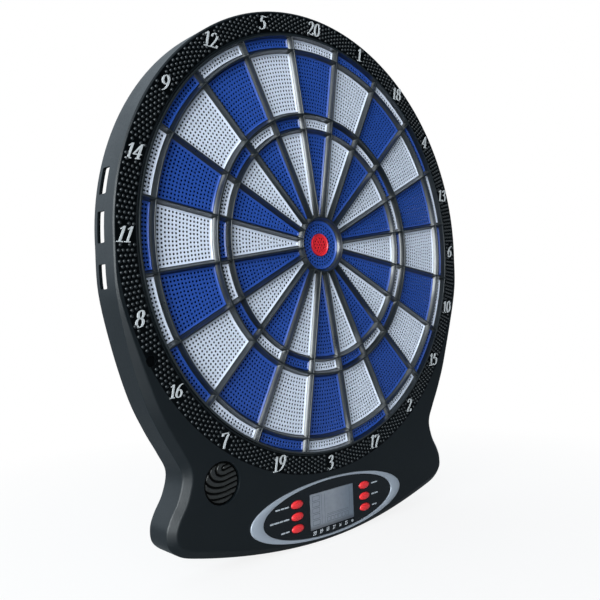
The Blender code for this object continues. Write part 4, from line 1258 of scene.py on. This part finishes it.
def display_marks():
    """Corners of the display's faint marks: a column of boxes, dividers, and boxes along its foot."""
    thin = (MARK_THIN / (2 * LCD_HALF[0]), MARK_THIN / (2 * LCD_HALF[1]))
    marks = []
    for row in range(5):
        up = MARK_FOOT + COLUMN_PITCH * row
        low, high = on_display(COLUMN_SPAN[0], up), on_display(COLUMN_SPAN[1], up + COLUMN_BOX)
        marks += frame_strokes(low, high, MARK_STROKE)
    for across in DIVIDERS_AT:
        marks.append((on_display(across, MARK_FOOT), on_display(across + thin[0], MARK_TOP)))
    for up in LINES_AT:
        marks.append((on_display(MARK_LEFT, up), on_display(MARK_RIGHT, up + thin[1])))
    for column in range(6):
        across = MARK_LEFT + FOOT_PITCH * column
        low, high = on_display(across, MARK_FOOT), on_display(across + FOOT_BOX, FOOT_BOX_TOP)
        marks += frame_strokes(low, high, MARK_STROKE)
    return marks


def frame_strokes(low, high, width):
    """Four thin strokes round a rectangle."""
    return [
        (low, (high[0], low[1] + width)),
        ((low[0], high[1] - width), high),
        ((low[0], low[1] + width), (low[0] + width, high[1] - width)),
        ((high[0] - width, low[1] + width), (high[0], high[1] - width)),
    ]


def printed_marks():
    """Small numbers and a bull's mark below the display, and plain dashes beside the buttons."""
    low, high = PANEL_FRONT - PRINT_RISE, PANEL_FRONT + PRINT_RISE
    digits = digit_meshes("01256789", SMALL_NUMBER_HEIGHT, PRINT_RISE * 2)
    for index, number in enumerate((20, 19, 18, 17, 16, 15)):
        at = standing((SMALL_NUMBERS_X + index * SMALL_NUMBER_PITCH, SMALL_NUMBERS_Y), low)
        place(f"print_{number}", number_shape(number, digits, SMALL_NUMBER_HEIGHT), PRINT_LIGHT, at=at)
    shape = bmesh.new()
    centre = (SMALL_NUMBERS_X + 6 * SMALL_NUMBER_PITCH, SMALL_NUMBERS_Y)
    dot, inner, outer = BULL_MARK_RADII
    add_cylinder(shape, dot, centre, low, high, BULL_MARK_STEPS)
    section = ((outer, low), (outer, high), (inner, high), (inner, low))
    rings = stack(shape, disc(0.0, centre, BULL_MARK_STEPS), section)
    skin(shape, rings[-1], rings[0])
    for node, dashes in zip(BUTTONS, LABEL_DASHES):
        add_label(shape, middle_of(node), dashes, ((0.0, low), (0.0, high)))
    place("print_marks", shape, PRINT)


def add_label(shape, centre, dashes, levels):
    """A line of dashes beside a button, on the side away from the display."""
    side = math.copysign(1.0, centre[0])
    start = abs(centre[0]) + BUTTON_HALF[0] + LABEL_GAP
    for length in dashes:
        at = (side * (start + length / 2), centre[1])
        half = (length / 2, LABEL_HEIGHT / 2)
        add_solid(shape, rounded_rectangle(half, at, LABEL_HEIGHT * LABEL_CORNER, 2), levels)
        start += length + LABEL_HEIGHT * LABEL_SPACE


# ---- speaker
def ridge_height(x, y):
    """Height of the grille's face at a place measured from its middle."""
    reach = GRILLE_R - GRILLE_RIM - math.hypot(x, y)
    angle = math.radians(GRILLE_TURN)
    x_from, y_from = x - GRILLE_EYE[0] * GRILLE_R, y - GRILLE_EYE[1] * GRILLE_R
    along = x_from * math.cos(angle) + y_from * math.sin(angle)
    across = y_from * math.cos(angle) - x_from * math.sin(angle)
    distance = abs(across) if along > 0 else math.hypot(along * GRILLE_SWIRL, across)
    distance += GRILLE_WAVE * math.sin(GRILLE_SWAY[0] * x / GRILLE_R + GRILLE_SWAY[1])
    phase = abs(distance / GRILLE_PITCH - round(distance / GRILLE_PITCH))
    ridge = smooth_step((GRILLE_RIDGE - phase) / GRILLE_SOFT + 0.5)
    return GRILLE_FLOOR + GRILLE_GROOVE * ridge * smooth_step(reach / GRILLE_FADE)


def grille():
    """Round grille set back in the case: a flange behind it, and wavy ridges across its face."""
    profile = (
        (GRILLE_FLANGE_R, GRILLE_BACK),
        (GRILLE_FLANGE_R, GRILLE_FLANGE_TOP),
        (GRILLE_R, GRILLE_FLANGE_TOP),
        (GRILLE_R, GRILLE_FLOOR),
    )
    shape = bmesh.new()
    rings = stack(shape, disc(0.0, SPEAKER_AT, GRILLE_STEPS), profile)
    for index in range(GRILLE_RINGS, 0, -1):
        loop = circle((GRILLE_R - GRILLE_RIM) * index / GRILLE_RINGS, ORIGIN, GRILLE_STEPS)
        moved = [(x + SPEAKER_AT[0], y + SPEAKER_AT[1]) for x, y in loop]
        rings.append(ring(shape, moved, [ridge_height(x, y) for x, y in loop]))
    skin(shape, *rings[len(profile) - 1:])
    fill(shape, rings[0])
    fan(shape, rings[-1], (*SPEAKER_AT, ridge_height(0.0, 0.0)))
    place("grille_ridges", mesh_from(shape, 50), GRILLE, ("speaker_grille",))


# ---- back
def keyhole(centre):
    """A round hole for a screw head, with a narrow slot above it for the shank."""
    def outline(growth):
        head_r, slot_r = KEYHOLE_R + growth, KEYHOLE_SLOT_R + growth
        join = math.asin(slot_r / head_r)
        head = arc(head_r, math.pi / 2 + join, math.tau + math.pi / 2 - join, KEYHOLE_STEPS[0], centre)
        top = (centre[0], centre[1] + KEYHOLE_RISE)
        return head + arc(slot_r, 0.0, math.pi, KEYHOLE_STEPS[1], top)
    return outline


def bay_outline(wall=0.0):
    half = [(high - low) / 2 + wall for low, high in zip(BAY_LOW, BAY_HIGH)]
    centre = [(high + low) / 2 for low, high in zip(BAY_LOW, BAY_HIGH)]
    return rounded_rectangle(half, centre, BAY_CORNER + wall)


def add_rib(shape, radius):
    """A ring rib on the inner side of the cover. Returns its outer and inner rings at its foot."""
    half = RIB_THICKNESS / 2
    section = ((half, COVER_TOP), (half, RIB_TOP), (-half, RIB_TOP), (-half, COVER_TOP))
    rings = stack(shape, disc(radius, ORIGIN, RIB_STEPS), section)
    return rings[0], rings[-1]


def add_post(shape, outline, height):
    """A capped post or tray on the inner side of the cover. Returns the ring at its foot."""
    rings = stack(shape, outline, ((0.0, COVER_TOP), (0.0, height)))
    fill(shape, rings[-1])
    return rings[0]


def cover_shape():
    shape = bmesh.new()
    rim = case_outline()
    outline = stack(shape, lambda growth: inset(rim, CASE_WALL + COVER_GAP - growth),
                    edge_levels(COVER_TOP, 0.0, COVER_EDGE))
    keyholes = [stack(shape, keyhole(centre), edge_levels(COVER_TOP, 0.0, COVER_EDGE, -1))
                for centre in KEYHOLES]
    bay = stack(shape, bay_outline(), edge_levels(BAY_CEILING, 0.0, COVER_EDGE * 0.5, -1))
    fill(shape, bay[0])
    outside = [outline[-1], bay[-1], *(rings[-1] for rings in keyholes)]
    inside = [outline[0], add_post(shape, bay_outline(BAY_WALL), BAY_CEILING + BAY_WALL)]
    sink = COUNTERBORE_R - PILOT_R
    screw_hole = ((sink + MOUTH_EDGE, 0.0), (sink, MOUTH_EDGE), (sink, COUNTERBORE_TOP),
                  (0.0, COUNTERBORE_TOP), (0.0, COVER_TOP))
    for centre in boss_centres():
        rings = stack(shape, disc(PILOT_R, centre, PILOT_MOUTH_STEPS), screw_hole)
        outside.append(rings[0])
        inside.append(rings[-1])
    for x in (-BOARD_POST[0], BOARD_POST[0]):
        for y in (-BOARD_POST[1], BOARD_POST[1]):
            at = (x, PANEL_CENTRE[1] + y)
            inside.append(add_post(shape, disc(BOARD_POST_R, at, BOARD_POST_STEPS), BOARD_POST_TOP))
    inner_rib, outer_rib = (add_rib(shape, radius) for radius in RIB_RADII)
    fill(shape, *outside)
    fill(shape, *inside, outer_rib[0])
    fill(shape, outer_rib[1], inner_rib[0], *(rings[0] for rings in keyholes))
    fill(shape, inner_rib[1])
    return shape


def notches():
    """Cutter for the cover's sides, which are cut back beside the slots in the side walls."""
    corners = []
    for near, far in ((-HEAD_R, -NOTCH_X), (NOTCH_X, HEAD_R)):
        corners.append(((near, NOTCH_SPAN[0], -OVERCUT), (far, NOTCH_SPAN[1], COVER_TOP + OVERCUT)))
    return blocks(corners)


def rear_cover():
    mesh = cut(cover_shape(), ("DIFFERENCE", notches()))
    place("rear_cover_plate", mesh, COVER, ("rear_cover",), flat=True)


def battery_door():
    """Flat door with rounded outer edges, a thumb recess at its latch, and grip grooves."""
    shape = bmesh.new()
    centre = middle_of("battery_door")
    outline = rounded_rectangle(half_of("battery_door"), centre, DOOR_CORNER)
    rings = stack(shape, outline, edge_levels(DOOR_INSIDE, 0.0, DOOR_EDGE))
    fill(shape, rings[0])
    face = [rings[-1]]
    for half, up, corner in (THUMB_RECESS, *GRIP_GROOVES):
        outline = rounded_rectangle(half, (centre[0], DOOR_LATCH_Y + up), corner, 6)
        pocket = stack(shape, outline, POCKET_LEVELS)
        fill(shape, pocket[-1])
        face.append(pocket[0])
    fill(shape, *face)
    place("battery_door_plate", shape, COVER, ("battery_door",), "battery_door", flat=True)


def case_screws():
    """Pan-head screws with a cross recess, driven in from the back."""
    profile = (
        *((SCREW_HEAD_R * share, SCREW_HEAD_LOW + rise) for share, rise in SCREW_DOME),
        (SCREW_HEAD_R, SCREW_HEAD_TOP),
        (SCREW_SHANK_R, SCREW_HEAD_TOP),
        (SCREW_SHANK_R, SCREW_TIP - SCREW_SHANK_R),
        (SCREW_SHANK_R * SCREW_POINT, SCREW_TIP),
    )
    bars = []
    for x, y in (CROSS_HALF, CROSS_HALF[::-1]):
        bars.append(("DIFFERENCE", blocks([((-x, -y, -OVERCUT), (x, y, SCREW_HEAD_LOW + CROSS_DEPTH))])))
    mesh = cut(lathe(profile, SCREW_STEPS), *bars)
    for index, centre in enumerate(boss_centres(), start=1):
        at = standing(centre, 0.0) @ Matrix.Rotation(index * SCREW_TURN, 4, "Z")
        place(f"screw_{index}", mesh, STEEL, (f"case_screw_{index}",), at=at)


def batteries():
    """Round cells lying side by side, each the other way round from the one beside it."""
    half, radius = half_of("battery_1")
    body_top = half - CELL_NIPPLE
    band_low = body_top - CELL_BAND_WIDTH
    profile = (
        *((radius - inward, -half + rise) for inward, rise in CELL_FOOT_EDGE),
        (radius, band_low),
        *((radius - inward, body_top - drop) for inward, drop in CELL_TOP_EDGE),
        (CELL_NIPPLE_R, body_top),
        (CELL_NIPPLE_R, half - CELL_NIPPLE_EDGE),
        (CELL_NIPPLE_R - CELL_NIPPLE_EDGE, half),
    )
    mesh = mesh_from(lathe(profile, CELL_STEPS))
    for material in (CELL, CELL_BAND, STEEL):
        mesh.materials.append(material)
    for face in mesh.polygons:
        height = face.center.z
        if abs(face.normal.z) > 0.7 or height > body_top:
            face.material_index = 2
        elif height > band_low:
            face.material_index = 1
    for index, way in ((1, -1), (2, 1), (3, -1)):
        low, high = span(f"battery_{index}")
        turn = Matrix.Rotation(way * math.pi / 2, 4, "Y")
        at = STAND @ Matrix.Translation((low + high) / 2) @ turn
        place(f"battery_cell_{index}", mesh, CELL, (f"battery_{index}",), at=at)


# ---- CAD nodes that stay
def kept_nodes():
    """Inner pieces whose CAD shape is right get their finish here."""
    finishes = (
        (HARDBOARD, "sensor_backing_plate"),
        (FILM, "sensor_membrane"),
        (RUBBER, "rubber_mat", "button_pad_left", "button_pad_right"),
        (LCD_FRAME, "lcd_module"),
        (CIRCUIT, "main_board"),
        (STEEL, "speaker", "battery_contact_left", "battery_contact_right"),
        (RIBBON, "ribbon_cable"),
        (CABLE, "speaker_cable", "battery_cable"),
    )
    for material, *nodes in finishes:
        for node in nodes:
            mesh = frame["nodes"][node].data
            mesh.materials.clear()
            mesh.materials.append(material)


# ---- stage
CAMERA_AT = (-0.4032, -0.4338, -0.0559)
CAMERA_TURNS = (
    (-42.7, "Z"),  # from +Y towards +X
    (90 + 1.02, "X"),
    (-2.21, "Z"),  # its right side dips
)
CAMERA_LENS, CAMERA_SENSOR = 41.03, 36.0
BACKDROP = (1.0, 1.0, 1.0)
ROOM_DARK, ROOM_BRIGHT = (0.024, 0.040, 0.050), (0.80, 0.92, 1.02)
BRIGHT_SIDE = (-0.70, 0.70, 0.14)
FLOOR_COLOURS = (0.86, 0.86, 0.87), (0.9, 0.9, 0.91)
FLOOR_AS_OBJECT_SEES = (0.26, 0.27, 0.28)
FLOOR_FADE = (0.26, 0.60)  # from the origin
FLOOR_R, FLOOR_GAP, FLOOR_STEPS = 30.0, 0.0002, 64


def camera():
    data = bpy.data.cameras.new("camera")
    data.lens = CAMERA_LENS
    data.sensor_width = CAMERA_SENSOR
    data.clip_start = 0.01
    obj = add_object("camera", data)
    matrix = Matrix.Translation(CAMERA_AT)
    for degrees, axis in CAMERA_TURNS:
        matrix = matrix @ Matrix.Rotation(math.radians(degrees), 4, axis)
    obj.matrix_world = matrix
    bpy.context.scene.camera = obj


def softbox(name, towards, distance, radiance, colour, size=1.5):
    """A square light that faces the board from a direction."""
    direction = Vector(towards).normalized()
    data = bpy.data.lights.new(name, "AREA")
    data.size = size
    data.energy = radiance * math.pi * size * size
    data.color = colour
    turn = direction.to_track_quat("Z", "Y").to_matrix().to_4x4()
    add_object(name, data).matrix_world = Matrix.Translation(direction * distance) @ turn


def world():
    """The camera sees a white backdrop. The object sees a room, brighter on its left and behind."""
    bpy.context.scene.world = bpy.data.worlds.new("studio")
    nodes = Nodes(bpy.context.scene.world)
    seen = nodes.add("LightPath", out="Is Camera Ray")
    way = nodes.add("TexCoord", out="Generated")
    side = nodes.vectors("DOT_PRODUCT", {0: way, 1: BRIGHT_SIDE}, "Value")
    room = nodes.mix(nodes.remap(side, -0.7, 0.9), ROOM_DARK, ROOM_BRIGHT)
    nodes.feed(nodes.tree.nodes["Background"].inputs["Color"], nodes.mix(seen, room, BACKDROP))


def floor_material():
    """Pale to the camera, darker to the object, and fading into the backdrop away from it."""
    material, nodes = new_material("floor")
    position = nodes.add("NewGeometry", out="Position")
    fade = nodes.remap(nodes.vectors("LENGTH", {0: position}, "Value"), *FLOOR_FADE, 0.84, 1.0)
    seen = nodes.add("LightPath", out="Is Camera Ray")
    pale = nodes.mix(nodes.noise(position, 0.002), *FLOOR_COLOURS)
    nodes.dress({"Base Color": nodes.mix(seen, FLOOR_AS_OBJECT_SEES, pale), "Roughness": 0.7})
    shader = nodes.tree.nodes["Principled BSDF"].outputs[0]
    glow = nodes.add("Emission", {"Color": BACKDROP})
    surface = nodes.add("MixShader", {0: nodes.math("MULTIPLY", fade, seen), 1: shader, 2: glow})
    nodes.feed(nodes.tree.nodes["Material Output"].inputs["Surface"], surface)
    return material


def floor():
    shape = bmesh.new()
    bmesh.ops.create_circle(shape, cap_ends=True, segments=FLOOR_STEPS, radius=FLOOR_R)
    mesh = bpy.data.meshes.new("floor")
    shape.to_mesh(mesh)
    shape.free()
    mesh.materials.append(floor_material())
    obj = add_object("floor", mesh)
    obj.location.z = BOTTOM_Y - FLOOR_GAP


for build in (scoring_pads, outer_bull, inner_bull, spider, front_housing, number_band, numerals, trim_ring,
              panel_plate, buttons, lcd, printed_marks, grille, rear_cover, battery_door, case_screws,
              batteries, kept_nodes, camera, world, floor):
    build()
softbox("side_softbox", (-0.93, -0.36, 0.08), 1.7, 8.4, (0.90, 0.97, 1.0))
softbox("front_softbox", (-0.50, -0.80, 0.32), 1.9, 1.1, (0.93, 0.98, 1.0))
bpy.context.scene.view_settings.view_transform = "Standard"
